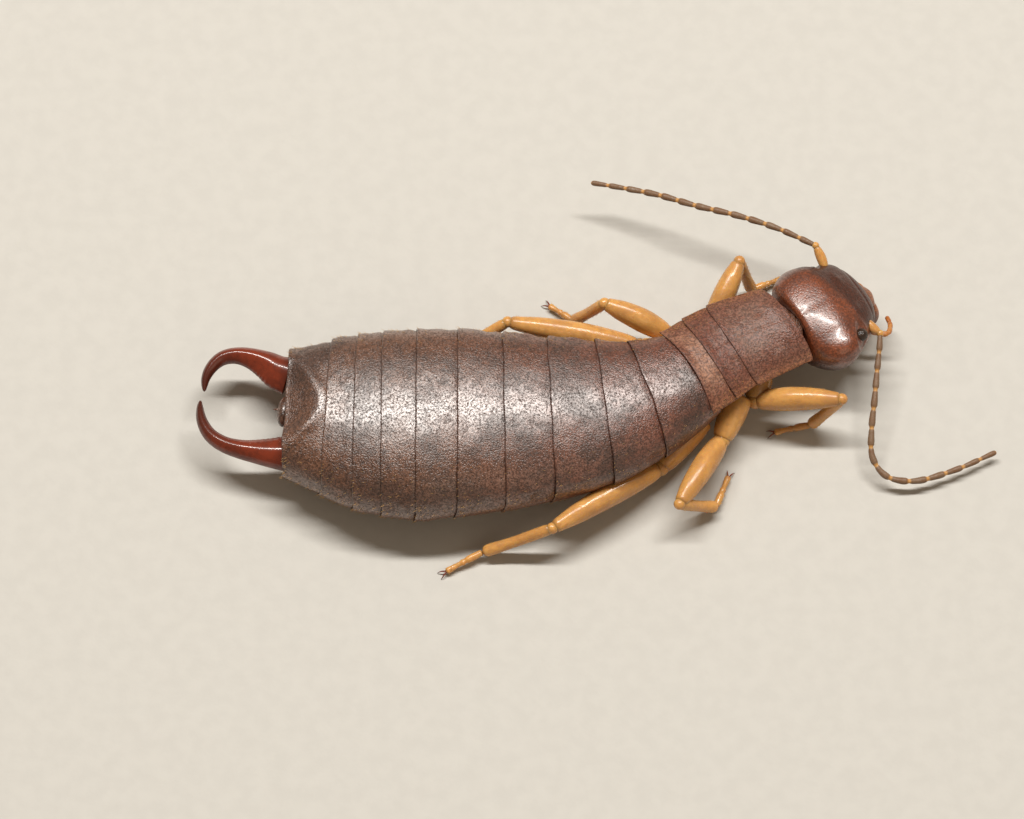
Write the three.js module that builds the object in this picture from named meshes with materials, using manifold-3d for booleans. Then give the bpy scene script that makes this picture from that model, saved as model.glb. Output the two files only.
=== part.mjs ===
// A wingless earwig, life size, in millimetres. +X runs from the forceps towards the head,
// +Y is the animal's left and the floor is at z = 0. The belly and the six feet touch the floor.
import * as THREE from "three";
import { mergeVertices } from "three/addons/utils/BufferGeometryUtils.js";
import Module from "manifold-3d";

const wasm = await Module();
wasm.setup();

// Space between neighbouring pieces, and the finer one round an eye.
const GAP = 0.25;
const EYE_GAP = 0.1;

// Where the trunk's plates join, from the tail to the neck: middle, half width, half height and
// how far the joint turns to the left for each step ahead.
const JOINTS = [
  { x: -5.11, y: 0.02, z: 1.1, wide: 1.45, high: 0.75, lean: -0.12 },
  { x: -4.14, y: -0.145, z: 1.12, wide: 1.84, high: 0.95, lean: -0.06 },
  { x: -3.49, y: -0.263, z: 1.14, wide: 2.07, high: 1.05, lean: -0.02 },
  { x: -2.88, y: -0.307, z: 1.16, wide: 2.18, high: 1.12, lean: 0 },
  { x: -2.115, y: -0.34, z: 1.18, wide: 2.25, high: 1.18, lean: 0 },
  { x: -1.19, y: -0.29, z: 1.18, wide: 2.21, high: 1.18, lean: 0 },
  { x: -0.135, y: -0.263, z: 1.2, wide: 2.09, high: 1.15, lean: 0.02 },
  { x: 0.92, y: -0.21, z: 1.23, wide: 1.92, high: 1.09, lean: 0.05 },
  { x: 2.115, y: -0.06, z: 1.26, wide: 1.7, high: 1, lean: 0.13 },
  { x: 3.06, y: 0.26, z: 1.29, wide: 1.4, high: 0.9, lean: 0.34 },
  { x: 3.915, y: 0.72, z: 1.31, wide: 1.15, high: 0.79, lean: 0.6 },
  { x: 4.41, y: 1.055, z: 1.31, wide: 1.12, high: 0.71, lean: 0.63 },
  { x: 4.93, y: 1.41, z: 1.31, wide: 1.06, high: 0.63, lean: 0.6 },
  { x: 6.2, y: 1.97, z: 1.33, wide: 0.97, high: 0.54, lean: 0.66 },
];
const LIP = 0.06; // how far a plate's rear edge stands above the plate behind it
const BELLY_FLAT = 0.05; // how far the belly is pressed flat by the floor
const TRUNK_SIDES = 28;

// The trunk's nodes, each over a run of joints.
const TRUNK_NODES = [
  { name: "abdomen_tip", first: 0, last: 1, tuck: 0.1 },
  { name: "abdomen_rear", first: 1, last: 4, tuck: 0.1 },
  { name: "abdomen_middle", first: 4, last: 7, tuck: 0.1 },
  { name: "abdomen_front", first: 7, last: 10, tuck: 0.14 },
  { name: "metathorax", first: 10, last: 11, tuck: 0.2 },
  { name: "mesothorax", first: 11, last: 12, tuck: 0.22 },
  { name: "prothorax", first: 12, last: 13, tuck: 0.28 },
];

// The head: its middle between the eyes, the way it faces and its sections from nape to jaws.
const HEAD = { x: 7.05, y: 2.28, z: 1.3, heading: 30, pitch: -12, roll: 10 };
const HEAD_SECTIONS = [
  { along: -0.74, wide: 0.62, top: 0.4, low: 0.55 },
  { along: -0.64, wide: 1.02, top: 0.54, low: 0.76 },
  { along: -0.38, wide: 1.33, top: 0.64, low: 0.94 },
  { along: 0, wide: 1.36, top: 0.68, low: 0.98 },
  { along: 0.38, wide: 1.06, top: 0.6, low: 0.88 },
  { along: 0.68, wide: 0.74, top: 0.44, low: 0.7 },
  { along: 0.86, wide: 0.52, top: 0.32, low: 0.52 },
];
const JAW_SECTIONS = [
  { along: 0, wide: 0.54, top: 0.32, low: 0.44 },
  { along: 0.18, wide: 0.46, top: 0.22, low: 0.4 },
  { along: 0.3, wide: 0.3, top: 0.08, low: 0.32 },
];
const EYE = { along: 0.32, side: 1.0, up: 0.26, long: 0.18, deep: 0.17, tall: 0.17 };

const FINISHES = {
  shield: { color: 0x6d5547, roughness: 0.5 },
  plate: { color: 0x46291c, roughness: 0.42 },
  head: { color: 0x5c2616, roughness: 0.22 },
  eye: { color: 0x0d0a09, roughness: 0.15 },
  jaw: { color: 0x8c4a20, roughness: 0.4 },
  feeler: { color: 0x7d6550, roughness: 0.55 },
  leg: { color: 0xa9742f, roughness: 0.38 },
  forceps: { color: 0x6d2c15, roughness: 0.24 },
};

const UP = new THREE.Vector3(0, 0, 1);
const point = (x, y, z) => new THREE.Vector3(x, y, z);
const mix = THREE.MathUtils.lerp;

// Moves a unit circle's coordinate out towards a squarer oval.
const squared = (value, power) => Math.sign(value) * Math.abs(value) ** (2 / power);

// A closed body through cross sections. Each has its middle, its forward direction, its half
// width, its reach up and down, how square it is and how far its underside is tucked in.
// Nothing reaches below the floor, which leaves a small flat where a piece rests.
function loft(sections, sides) {
  const geometry = new THREE.CylinderGeometry(1, 1, 1, sides, sections.length - 1);
  geometry.deleteAttribute("normal");
  geometry.deleteAttribute("uv");
  const position = geometry.getAttribute("position");
  const at = new THREE.Vector3();
  for (let i = 0; i < position.count; i++) {
    at.fromBufferAttribute(position, i);
    const section = sections[Math.round((at.y + 0.5) * (sections.length - 1))];
    const { middle, forward, wide, top, low, square = 2, tuck = 0, roll = 0 } = section;
    const side = forward.clone().cross(UP).normalize();
    const over = side.clone().cross(forward).normalize();
    side.applyAxisAngle(forward, roll);
    over.applyAxisAngle(forward, roll);
    const height = squared(at.z, square);
    const reach = squared(at.x, square) * wide * (1 + tuck * Math.min(height, 0));
    const place = middle.clone().addScaledVector(side, reach);
    place.addScaledVector(over, height * (height > 0 ? top : low));
    position.setXYZ(i, place.x, place.y, Math.max(place.z, 0));
  }
  return mergeVertices(geometry, 1e-4);
}

function solidOf(geometry) {
  const vertProperties = geometry.getAttribute("position").array;
  const triVerts = new Uint32Array(geometry.index.array);
  return new wasm.Manifold(new wasm.Mesh({ numProp: 3, vertProperties, triVerts }));
}

const largest = (solid) => solid.decompose().sort((a, b) => b.volume() - a.volume())[0];

function geometryOf(solid) {
  const mesh = solid.getMesh();
  const geometry = new THREE.BufferGeometry();
  geometry.setAttribute("position", new THREE.BufferAttribute(mesh.vertProperties, 3));
  geometry.setIndex(new THREE.BufferAttribute(mesh.triVerts, 1));
  geometry.computeVertexNormals();
  return geometry;
}

const earwig = new THREE.Group();
const animal = new THREE.Group();
earwig.add(animal);

function addPiece(name, solid, finish) {
  const material = new THREE.MeshStandardMaterial({ metalness: 0, ...FINISHES[finish] });
  const mesh = new THREE.Mesh(geometryOf(largest(solid)), material);
  mesh.name = name;
  animal.add(mesh);
}

// The trunk's middle line and its size at any place, counted in joints from the tail.
const trunkLine = new THREE.CatmullRomCurve3(JOINTS.map(({ x, y, z }) => point(x, y, z)));
function trunkAt(count, offset = 0) {
  const share = count / (JOINTS.length - 1);
  const behind = JOINTS[Math.min(Math.floor(count), JOINTS.length - 2)];
  const ahead = JOINTS[Math.min(Math.floor(count), JOINTS.length - 2) + 1];
  const part = count - JOINTS.indexOf(behind);
  const { x, z } = trunkLine.getTangent(share);
  const forward = point(1, mix(behind.lean, ahead.lean, part), z / x).normalize();
  return {
    middle: trunkLine.getPoint(share).addScaledVector(forward, offset),
    forward,
    wide: mix(behind.wide, ahead.wide, part),
    high: mix(behind.high, ahead.high, part),
  };
}

// One run of the trunk. Each plate is highest at its rear lip and dips under the next at its front.
function trunkPiece({ first, last, tuck }, grow = 0) {
  const rings = [];
  const ring = (count, raise, offset) => {
    const { middle, forward, wide, high } = trunkAt(count, offset);
    const top = high + raise + grow;
    const low = high + BELLY_FLAT + grow;
    rings.push({ middle, forward, wide: wide + raise + grow, top, low, square: 2.3, tuck });
  };
  for (let plate = first; plate < last; plate++) {
    ring(plate, LIP, plate === first ? GAP / 2 - grow : 0);
    ring(plate + 0.3, LIP * 0.7, 0);
    ring(plate + 0.7, 0, 0);
    ring(plate + 1, -LIP / 3, plate + 1 === last ? grow - GAP / 2 : -0.02);
  }
  return solidOf(loft(rings, TRUNK_SIDES));
}

const trunk = new Map(TRUNK_NODES.map((node) => [node.name, trunkPiece(node)]));
const trunkGrown = TRUNK_NODES.map((node) => trunkPiece(node, GAP)).reduce((a, b) => a.add(b));

// A place on the head from its distance ahead of the eyes, to the left and up.
const headTurn = new THREE.Matrix4()
  .makeRotationZ(THREE.MathUtils.degToRad(HEAD.heading))
  .multiply(new THREE.Matrix4().makeRotationY(-THREE.MathUtils.degToRad(HEAD.pitch)))
  .multiply(new THREE.Matrix4().makeRotationX(-THREE.MathUtils.degToRad(HEAD.roll)));
const headMiddle = point(HEAD.x, HEAD.y, HEAD.z);
const onHead = (along, side, up) => point(along, side, up).applyMatrix4(headTurn).add(headMiddle);
const headForward = point(1, 0, 0).applyMatrix4(headTurn);
const headRoll = THREE.MathUtils.degToRad(-HEAD.roll);

const headRings = (sections, start, grow) =>
  sections.map(({ along, wide, top, low }, i) => {
    const end = i === 0 ? -grow : i === sections.length - 1 ? grow : 0;
    return {
      middle: onHead(start + along + end, 0, 0),
      forward: headForward,
      wide: wide + grow,
      top: top + grow,
      low: low + grow,
      square: 2.4,
      tuck: 0.12,
      roll: headRoll,
    };
  });
const headPiece = (grow = 0) => solidOf(loft(headRings(HEAD_SECTIONS, 0, grow), 24));
const jawStart = HEAD_SECTIONS.at(-1).along + GAP;
const jawPiece = (grow = 0) => solidOf(loft(headRings(JAW_SECTIONS, jawStart, grow), 16));

function eyePiece(hand, grow = 0) {
  const { along, side, up, long, deep, tall } = EYE;
  const ball = new THREE.SphereGeometry(1, 14, 10);
  ball.deleteAttribute("normal");
  ball.deleteAttribute("uv");
  ball.scale(long + grow, deep + grow, tall + grow);
  ball.applyMatrix4(headTurn);
  const place = onHead(along, hand * side, up);
  ball.translate(place.x, place.y, place.z);
  return solidOf(mergeVertices(ball, 1e-4));
}

// A limb piece between two points, thickest at a share of its length, with rounded ends.
function limbPiece({ from, to, start, belly, end, bulge = 0.4 }, grow = 0) {
  const forward = to.clone().sub(from).normalize();
  const length = to.distanceTo(from);
  const ring = (along, radius) => ({
    middle: from.clone().addScaledVector(forward, along),
    forward,
    wide: radius + grow,
    top: radius + grow,
    low: radius + grow,
  });
  const round = (radius) => radius * 0.6;
  const rings = [
    ring(-round(start) - grow, start * 0.5),
    ring(0, start),
    ring(length * bulge, belly),
    ring(length, end),
    ring(length + round(end) + grow, end * 0.5),
  ];
  return solidOf(loft(rings, 10));
}

// Legs, each from its root in the thorax to the hip, knee, ankle and toe.
const LEGS = [
  {
    name: "leg_front_right",
    root: [5.6, 1.1, 0.95],
    hip: [5.51, 0.4, 0.85],
    knee: [7.42, 0.22, 1.38],
    ankle: [6.78, 0.06, 0.22],
    toe: [5.95, -0.08, 0.1],
  },
  {
    name: "leg_middle_right",
    root: [5.15, 0.5, 0.95],
    hip: [4.73, -0.5, 0.7],
    knee: [3.75, -2.2, 1.1],
    ankle: [4.6, -1.93, 0.22],
    toe: [4.9, -1.15, 0.1],
  },
  {
    name: "leg_hind_right",
    root: [4.3, 0.0, 0.85],
    hip: [3.35, -1.15, 0.66],
    knee: [0.9, -2.74, 1.0],
    ankle: [-0.66, -3.02, 0.22],
    toe: [-1.49, -3.45, 0.1],
  },
  {
    name: "leg_front_left",
    root: [4.95, 1.75, 0.9],
    hip: [4.5, 2.2, 0.72],
    knee: [5.175, 3.64, 1.3],
    ankle: [5.5, 3.4, 0.22],
    toe: [6.2, 3.72, 0.1],
  },
  {
    name: "leg_middle_left",
    root: [4.05, 1.75, 0.85],
    hip: [3.55, 2.1, 0.7],
    knee: [2.1, 2.62, 1.25],
    ankle: [1.4, 2.62, 0.22],
    toe: [0.85, 3.05, 0.1],
  },
  {
    name: "leg_hind_left",
    root: [3.55, 1.45, 0.8],
    hip: [2.9, 1.82, 0.62],
    knee: [-0.1, 2.3, 0.92],
    ankle: [-1.5, 1.76, 0.22],
    toe: [-2.35, 1.64, 0.1],
  },
];
// Thickness of each leg piece at its start, its thickest place and its end.
const LEG_RADII = {
  coxa: { start: 0.42, belly: 0.4, end: 0.32 },
  femur: { start: 0.27, belly: 0.31, end: 0.26 },
  tibia: { start: 0.26, belly: 0.26, end: 0.25 },
  tarsus: { start: 0.25, belly: 0.25, end: 0.14 },
};

for (const leg of LEGS) {
  const [root, hip, knee, ankle, toe] = ["root", "hip", "knee", "ankle", "toe"].map((joint) =>
    point(...leg[joint]),
  );
  const runs = { coxa: [root, hip], femur: [hip, knee], tibia: [knee, ankle], tarsus: [ankle, toe] };
  leg.pieces = Object.entries(runs).map(([kind, [from, to]]) => {
    const shape = { from, to, ...LEG_RADII[kind] };
    return { kind, solid: limbPiece(shape), grown: limbPiece(shape, GAP) };
  });
}

// Forceps: the middle line of each arm from its base to its tip, and its thickness on the way.
const FORCEPS = [
  {
    name: "forceps_left",
    line: [
      [-5.235, 1.06, 1.05],
      [-5.55, 1.23, 1.06],
      [-5.95, 1.38, 1.06],
      [-6.3, 1.42, 1.04],
      [-6.58, 1.35, 1.02],
      [-6.8, 1.15, 1.0],
      [-6.93, 0.88, 0.98],
      [-6.96, 0.57, 0.96],
    ],
  },
  {
    name: "forceps_right",
    line: [
      [-5.235, -1.0, 1.05],
      [-5.65, -0.95, 1.06],
      [-6.12, -0.87, 1.06],
      [-6.5, -0.73, 1.04],
      [-6.8, -0.5, 1.02],
      [-6.98, -0.18, 1.0],
      [-7.04, 0.12, 0.98],
      [-7.04, 0.36, 0.96],
    ],
  },
];
const FORCEPS_STEPS = 14;

// A piece that follows a curved line, with its half width and half height given along it.
function curvedPiece(line, size, steps, sides) {
  const curve = new THREE.CatmullRomCurve3(line.map((place) => point(...place)));
  const rings = [];
  for (let step = 0; step <= steps; step++) {
    const share = step / steps;
    const { wide, high } = size(share);
    const forward = curve.getTangentAt(share);
    rings.push({ middle: curve.getPointAt(share), forward, wide, top: high, low: high });
  }
  return solidOf(loft(rings, sides));
}

const forcepsSize = (share) => ({
  wide: mix(0.37, 0.06, share ** 0.75) + 0.03 * Math.sin(Math.PI * share),
  high: mix(0.32, 0.06, share ** 0.8) + 0.03 * Math.sin(Math.PI * share),
});

// Feelers: the first long segment, then a string of beads in two lengths.
const BEADS = 12;
const BEAD_RADIUS = 0.25;
const FEELERS = [
  {
    name: "antenna_right",
    socket: { along: 0.66, side: -0.44, up: 0.3 },
    line: [
      [8.33, 1.86, 1.3],
      [8.32, 1.6, 1.24],
      [8.2575, 1.04, 1.1],
      [8.19, 0.372, 0.95],
      [8.12, -0.275, 0.75],
      [8.14, -0.87, 0.55],
      [8.4375, -1.258, 0.42],
      [9.02, -1.363, 0.35],
      [9.97, -1.088, 0.3],
      [10.98, -0.615, 0.27],
    ],
  },
  {
    name: "antenna_left",
    socket: { along: 0.6, side: 0.8, up: 0.2 },
    line: [
      [6.9, 3.9, 1.6],
      [6.03, 4.33, 1.6],
      [5.13, 4.67, 1.55],
      [4.23, 4.95, 1.45],
      [3.33, 5.3, 1.3],
      [2.43, 5.56, 1.15],
      [1.8, 5.72, 1.05],
    ],
  },
];

// A run of beads along the feeler, narrow at the joints and full between them.
function beads(curve, first, last) {
  const length = curve.getLength();
  const rings = [];
  const ring = (count, radius, offset = 0) => {
    const share = THREE.MathUtils.clamp(count / BEADS + offset / length, 0, 1);
    const forward = curve.getTangentAt(share);
    const middle = curve.getPointAt(share);
    rings.push({ middle, forward, wide: radius, top: radius, low: radius });
  };
  for (let bead = first; bead < last; bead++) {
    const thin = bead === BEADS - 1 ? 0.8 : 1;
    ring(bead, BEAD_RADIUS * 0.78, bead === first ? GAP / 2 : 0);
    ring(bead + 0.55, BEAD_RADIUS * thin);
  }
  ring(last, BEAD_RADIUS * (last === BEADS ? 0.4 : 0.78), last === BEADS ? 0 : -GAP / 2);
  return solidOf(loft(rings, 8));
}

// Palps curl forward from the mouth, one on each side.
const PALPS = [
  { name: "palp_left", hand: 1 },
  { name: "palp_right", hand: -1 },
];
const PALP_LINE = [
  { along: 0.95, side: 0.62, up: -0.42 },
  { along: 1.25, side: 0.86, up: -0.42 },
  { along: 1.5, side: 0.66, up: -0.5 },
  { along: 1.62, side: 0.36, up: -0.58 },
];

// The small lobe between the roots of the forceps sits in a hollow of the last plate.
const LOBE = { wide: 0.3, high: 0.3, from: 0.06, long: 0.32 };
function lobePiece(grow = 0) {
  const rings = [0, 0.6, 1].map((share) => {
    const spread = (share - 0.5) * 2 * grow;
    const { middle, forward } = trunkAt(0, LOBE.from - LOBE.long * share - spread);
    const size = 1 - 0.45 * share ** 3;
    const high = LOBE.high * size + grow;
    return { middle, forward: forward.negate(), wide: LOBE.wide * size + grow, top: high, low: high };
  });
  return solidOf(loft(rings, 12));
}
trunk.set("abdomen_tip", trunk.get("abdomen_tip").subtract(lobePiece(GAP)));

for (const { name, first } of TRUNK_NODES) {
  addPiece(name, trunk.get(name), first >= 10 ? "shield" : "plate");
}
addPiece("pygidium", lobePiece(), "plate");

const eyes = [1, -1].map((hand) => ({
  name: hand > 0 ? "eye_left" : "eye_right",
  solid: eyePiece(hand),
  grown: eyePiece(hand, EYE_GAP),
}));
let head = headPiece();
for (const eye of eyes) head = head.subtract(eye.grown);
addPiece("head", head, "head");
for (const eye of eyes) addPiece(eye.name, eye.solid, "eye");
const headGrown = headPiece(GAP);
const jaw = jawPiece();
addPiece("mouthparts", jaw, "jaw");
const jawGrown = jawPiece(GAP);

for (const { name, hand } of PALPS) {
  const line = PALP_LINE.map(({ along, side, up }) => onHead(along, hand * side, up).toArray());
  const size = (share) => ({ wide: mix(0.22, 0.16, share), high: mix(0.22, 0.16, share) });
  const palp = curvedPiece(line, size, 6, 8);
  addPiece(name, palp.subtract(headGrown).subtract(jawGrown), "jaw");
}

for (const { name, socket, line } of FEELERS) {
  const curve = new THREE.CatmullRomCurve3(line.map((place) => point(...place)));
  const from = onHead(socket.along, socket.side, socket.up);
  const to = point(...line[0]);
  const pull = to.clone().sub(from).normalize();
  to.addScaledVector(pull, -GAP / 2);
  const scape = limbPiece({ from, to, start: 0.25, belly: 0.27, end: 0.25 });
  const beadsInner = beads(curve, 0, BEADS / 2);
  const scapeGrown = limbPiece({ from, to, start: 0.25, belly: 0.27, end: 0.25 }, GAP);
  addPiece(name + "_scape", scape.subtract(headGrown), "feeler");
  addPiece(name + "_inner", beadsInner.subtract(scapeGrown).subtract(headGrown), "feeler");
  addPiece(name + "_outer", beads(curve, BEADS / 2, BEADS), "feeler");
}

// Each leg piece is cut clear of the trunk, of the piece before it and of every earlier leg.
const placed = [];
for (const leg of LEGS) {
  leg.pieces.forEach(({ kind, solid }, i) => {
    let piece = solid.subtract(trunkGrown);
    if (i > 0) piece = piece.subtract(leg.pieces[i - 1].grown);
    for (const other of placed) piece = piece.subtract(other);
    addPiece(leg.name + "_" + kind, piece, "leg");
  });
  placed.push(...leg.pieces.map(({ grown }) => grown));
}

for (const { name, line } of FORCEPS) {
  addPiece(name, curvedPiece(line, forcepsSize, FORCEPS_STEPS, 12), "forceps");
}

// The origin is the middle of the whole animal's box, on the floor.
const box = new THREE.Box3().setFromObject(animal);
const centre = box.getCenter(new THREE.Vector3());
animal.position.set(-centre.x, -centre.y, -box.min.z);

export default earwig;
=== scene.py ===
"""A life-size wingless earwig: plated back, forceps, beaded feelers and six legs.

Lengths in the tables are millimetres in the animal's own frame, where +X runs from the forceps
towards the head, +Y is its left and the floor is at zero. Finished pieces are in metres.
"""

import math
import random

import bmesh
import bpy
from mathutils import Matrix, Vector, noise


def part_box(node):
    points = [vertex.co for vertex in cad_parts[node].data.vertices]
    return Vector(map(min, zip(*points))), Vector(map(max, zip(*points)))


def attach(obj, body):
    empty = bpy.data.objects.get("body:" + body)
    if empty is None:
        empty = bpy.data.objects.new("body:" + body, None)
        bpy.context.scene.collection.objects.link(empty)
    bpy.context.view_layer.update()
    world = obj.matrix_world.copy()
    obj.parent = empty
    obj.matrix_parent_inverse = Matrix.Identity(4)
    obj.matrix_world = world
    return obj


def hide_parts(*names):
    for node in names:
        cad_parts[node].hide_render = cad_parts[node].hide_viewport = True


bl_info = {
    "name": "Wingless Earwig",
    "version": (1, 0, 0),
    "blender": (4, 5, 0),
    "location": "View3D > Sidebar > Earwig",
    "description": "Builds a life-size earwig and the small stage that it stands on",
    "category": "Object",
}

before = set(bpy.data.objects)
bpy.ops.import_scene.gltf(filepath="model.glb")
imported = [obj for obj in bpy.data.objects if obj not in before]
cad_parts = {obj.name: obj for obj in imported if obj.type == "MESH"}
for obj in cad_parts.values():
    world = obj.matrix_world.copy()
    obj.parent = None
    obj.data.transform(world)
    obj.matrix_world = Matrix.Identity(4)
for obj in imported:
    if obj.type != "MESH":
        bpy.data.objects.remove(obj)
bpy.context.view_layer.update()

MM = 0.001
UP = Vector((0, 0, 1))

# The trunk's joints from the tail to the neck: middle, half width, half height and how far the
# joint turns to the left for each step ahead.
JOINTS = [
    (-5.11, 0.02, 1.1, 1.45, 0.75, -0.12),
    (-4.14, -0.145, 1.12, 1.84, 0.95, -0.06),
    (-3.49, -0.263, 1.14, 2.07, 1.05, -0.02),
    (-2.88, -0.307, 1.16, 2.18, 1.12, 0.0),
    (-2.115, -0.34, 1.18, 2.25, 1.18, 0.0),
    (-1.19, -0.29, 1.18, 2.21, 1.18, 0.0),
    (-0.135, -0.263, 1.2, 2.09, 1.15, 0.02),
    (0.92, -0.21, 1.23, 1.92, 1.09, 0.05),
    (2.115, -0.06, 1.26, 1.7, 1, 0.13),
    (3.06, 0.26, 1.29, 1.4, 0.9, 0.34),
    (3.915, 0.72, 1.31, 1.15, 0.79, 0.6),
    (4.41, 1.055, 1.31, 1.12, 0.71, 0.63),
    (4.93, 1.41, 1.31, 1.06, 0.63, 0.6),
    (6.2, 1.97, 1.33, 0.97, 0.54, 0.66),
]
BELLY_FLAT = 0.05
SQUARE = 2.3
FLOOR_CLEAR = 0.004
WAIST = 10  # the joint between the abdomen and the thorax
NECK = 13

# The head: its middle between the eyes, the way it faces, and its sections from nape to face as
# distance ahead, half width, reach up and reach down.
HEAD_MIDDLE = Vector((7.05, 2.28, 1.3))
HEAD_HEADING = math.radians(30)
HEAD_PITCH = math.radians(-12)
HEAD_ROLL = math.radians(10)
HEAD_TURN = (
    Matrix.Rotation(HEAD_HEADING, 3, "Z")
    @ Matrix.Rotation(-HEAD_PITCH, 3, "Y")
    @ Matrix.Rotation(-HEAD_ROLL, 3, "X")
)
HEAD_SECTIONS = [
    (-0.66, 0.0, 0.0, 0.0),
    (-0.72, 0.32, 0.22, 0.28),
    (-0.79, 0.68, 0.4, 0.55),
    (-0.74, 0.97, 0.52, 0.73),
    (-0.57, 1.19, 0.59, 0.86),
    (-0.38, 1.32, 0.64, 0.94),
    (-0.18, 1.37, 0.67, 0.98),
    (0.02, 1.35, 0.68, 0.98),
    (0.22, 1.24, 0.65, 0.94),
    (0.4, 1.12, 0.59, 0.87),
    (0.56, 1.04, 0.54, 0.8),
    (0.72, 0.93, 0.48, 0.7),
    (0.88, 0.79, 0.41, 0.58),
    (1.02, 0.64, 0.33, 0.46),
    (1.12, 0.47, 0.24, 0.34),
    (1.17, 0.28, 0.14, 0.2),
    (1.18, 0.0, 0.0, 0.0),
]
HEAD_SQUARE = 2.4
EYE = {"along": 0.32, "side": 1.0, "up": 0.26, "long": 0.17, "deep": 0.15, "tall": 0.15}

PALP_LINE = [(0.95, 0.62, -0.42), (1.25, 0.86, -0.42), (1.5, 0.66, -0.5), (1.62, 0.36, -0.58)]

FEELERS = {
    "antenna_right": {
        "socket": (0.66, -0.44, 0.2),
        "line": [
            (8.33, 1.86, 1.3),
            (8.32, 1.6, 1.24),
            (8.2575, 1.04, 1.1),
            (8.19, 0.372, 0.95),
            (8.12, -0.275, 0.75),
            (8.14, -0.87, 0.55),
            (8.4375, -1.258, 0.42),
            (9.02, -1.363, 0.35),
            (9.97, -1.088, 0.3),
            (10.98, -0.615, 0.27),
        ],
    },
    "antenna_left": {
        "socket": (0.6, 0.8, 0.2),
        "line": [
            (6.9, 3.9, 1.6),
            (6.03, 4.33, 1.6),
            (5.13, 4.67, 1.55),
            (4.23, 4.95, 1.45),
            (3.33, 5.3, 1.3),
            (2.43, 5.56, 1.15),
            (1.8, 5.72, 1.05),
        ],
    },
}

# Legs: the root in the thorax, the hip, the knee, the ankle and the toe.
LEGS = {
    "leg_front_right": [
        (5.6, 1.1, 0.95), (5.51, 0.4, 0.85), (7.42, 0.22, 1.38), (6.78, 0.06, 0.22), (5.95, -0.08, 0.1)
    ],
    "leg_middle_right": [
        (5.15, 0.5, 0.95), (4.73, -0.5, 0.7), (3.75, -2.2, 1.1), (4.6, -1.93, 0.22), (4.9, -1.15, 0.1)
    ],
    "leg_hind_right": [
        (4.3, 0.0, 0.85), (3.35, -1.15, 0.66), (0.9, -2.74, 1.0), (-0.66, -3.02, 0.22), (-1.49, -3.45, 0.1)
    ],
    "leg_front_left": [
        (4.95, 1.75, 0.9), (4.5, 2.2, 0.72), (5.175, 3.64, 1.3), (5.5, 3.4, 0.22), (6.2, 3.72, 0.1)
    ],
    "leg_middle_left": [
        (4.05, 1.75, 0.85), (3.55, 2.1, 0.7), (2.1, 2.62, 1.25), (1.4, 2.62, 0.22), (0.85, 3.05, 0.1)
    ],
    "leg_hind_left": [
        (3.55, 1.45, 0.8), (2.9, 1.82, 0.62), (-0.1, 2.3, 0.92), (-1.5, 1.76, 0.22), (-2.35, 1.64, 0.1)
    ],
}

# Forceps: the middle line of each arm from its root to its tip.
FORCEPS = {
    "forceps_left": [
        (-4.98, 0.95, 1.04), (-5.25, 1.05, 1.05), (-5.55, 1.23, 1.06), (-5.95, 1.38, 1.06),
        (-6.3, 1.42, 1.04), (-6.58, 1.35, 1.02), (-6.8, 1.15, 1.0), (-6.93, 0.88, 0.98), (-6.96, 0.57, 0.96)
    ],
    "forceps_right": [
        (-4.98, -0.98, 1.04), (-5.25, -0.98, 1.05), (-5.65, -0.95, 1.06), (-6.12, -0.87, 1.06),
        (-6.5, -0.73, 1.04), (-6.8, -0.5, 1.02), (-6.98, -0.18, 1.0), (-7.04, 0.12, 0.98), (-7.04, 0.36, 0.96)
    ],
}


# ---- Sizes and colours that can be changed ----


def length(name, description, default):
    return bpy.props.FloatProperty(
        name=name, description=description, default=default, min=0, unit="LENGTH", precision=6
    )


def tint(name, description, default):
    return bpy.props.FloatVectorProperty(
        name=name, description=description, default=default, size=3, min=0, max=1, subtype="COLOR"
    )


class EarwigSizes(bpy.types.PropertyGroup):
    """Sizes of the animal's finer parts"""

    plate_wall: length("Plate Wall", "Thickness of a back plate", 0.00003)
    plate_lip: length("Plate Lip", "How far a plate's rear edge stands above the next plate", 0.00003)
    pit: length("Pit", "Distance between the small pits of the shell", 0.000036)
    pit_depth: length("Pit Depth", "Depth of the small pits of the shell", 0.000011)
    feeler_width: length("Feeler Width", "Thickness of a feeler's beads", 0.000165)
    bristle: length("Bristle", "Length of the bristles on the plates", 0.00008)
    bristle_width: length("Bristle Width", "Thickness of a bristle at its root", 0.000009)
    right_beads: bpy.props.IntProperty(
        name="Right Beads", description="Beads of the right feeler", default=14, min=6, max=24
    )
    left_beads: bpy.props.IntProperty(
        name="Left Beads", description="Beads of the left feeler", default=13, min=6, max=24
    )


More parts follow.
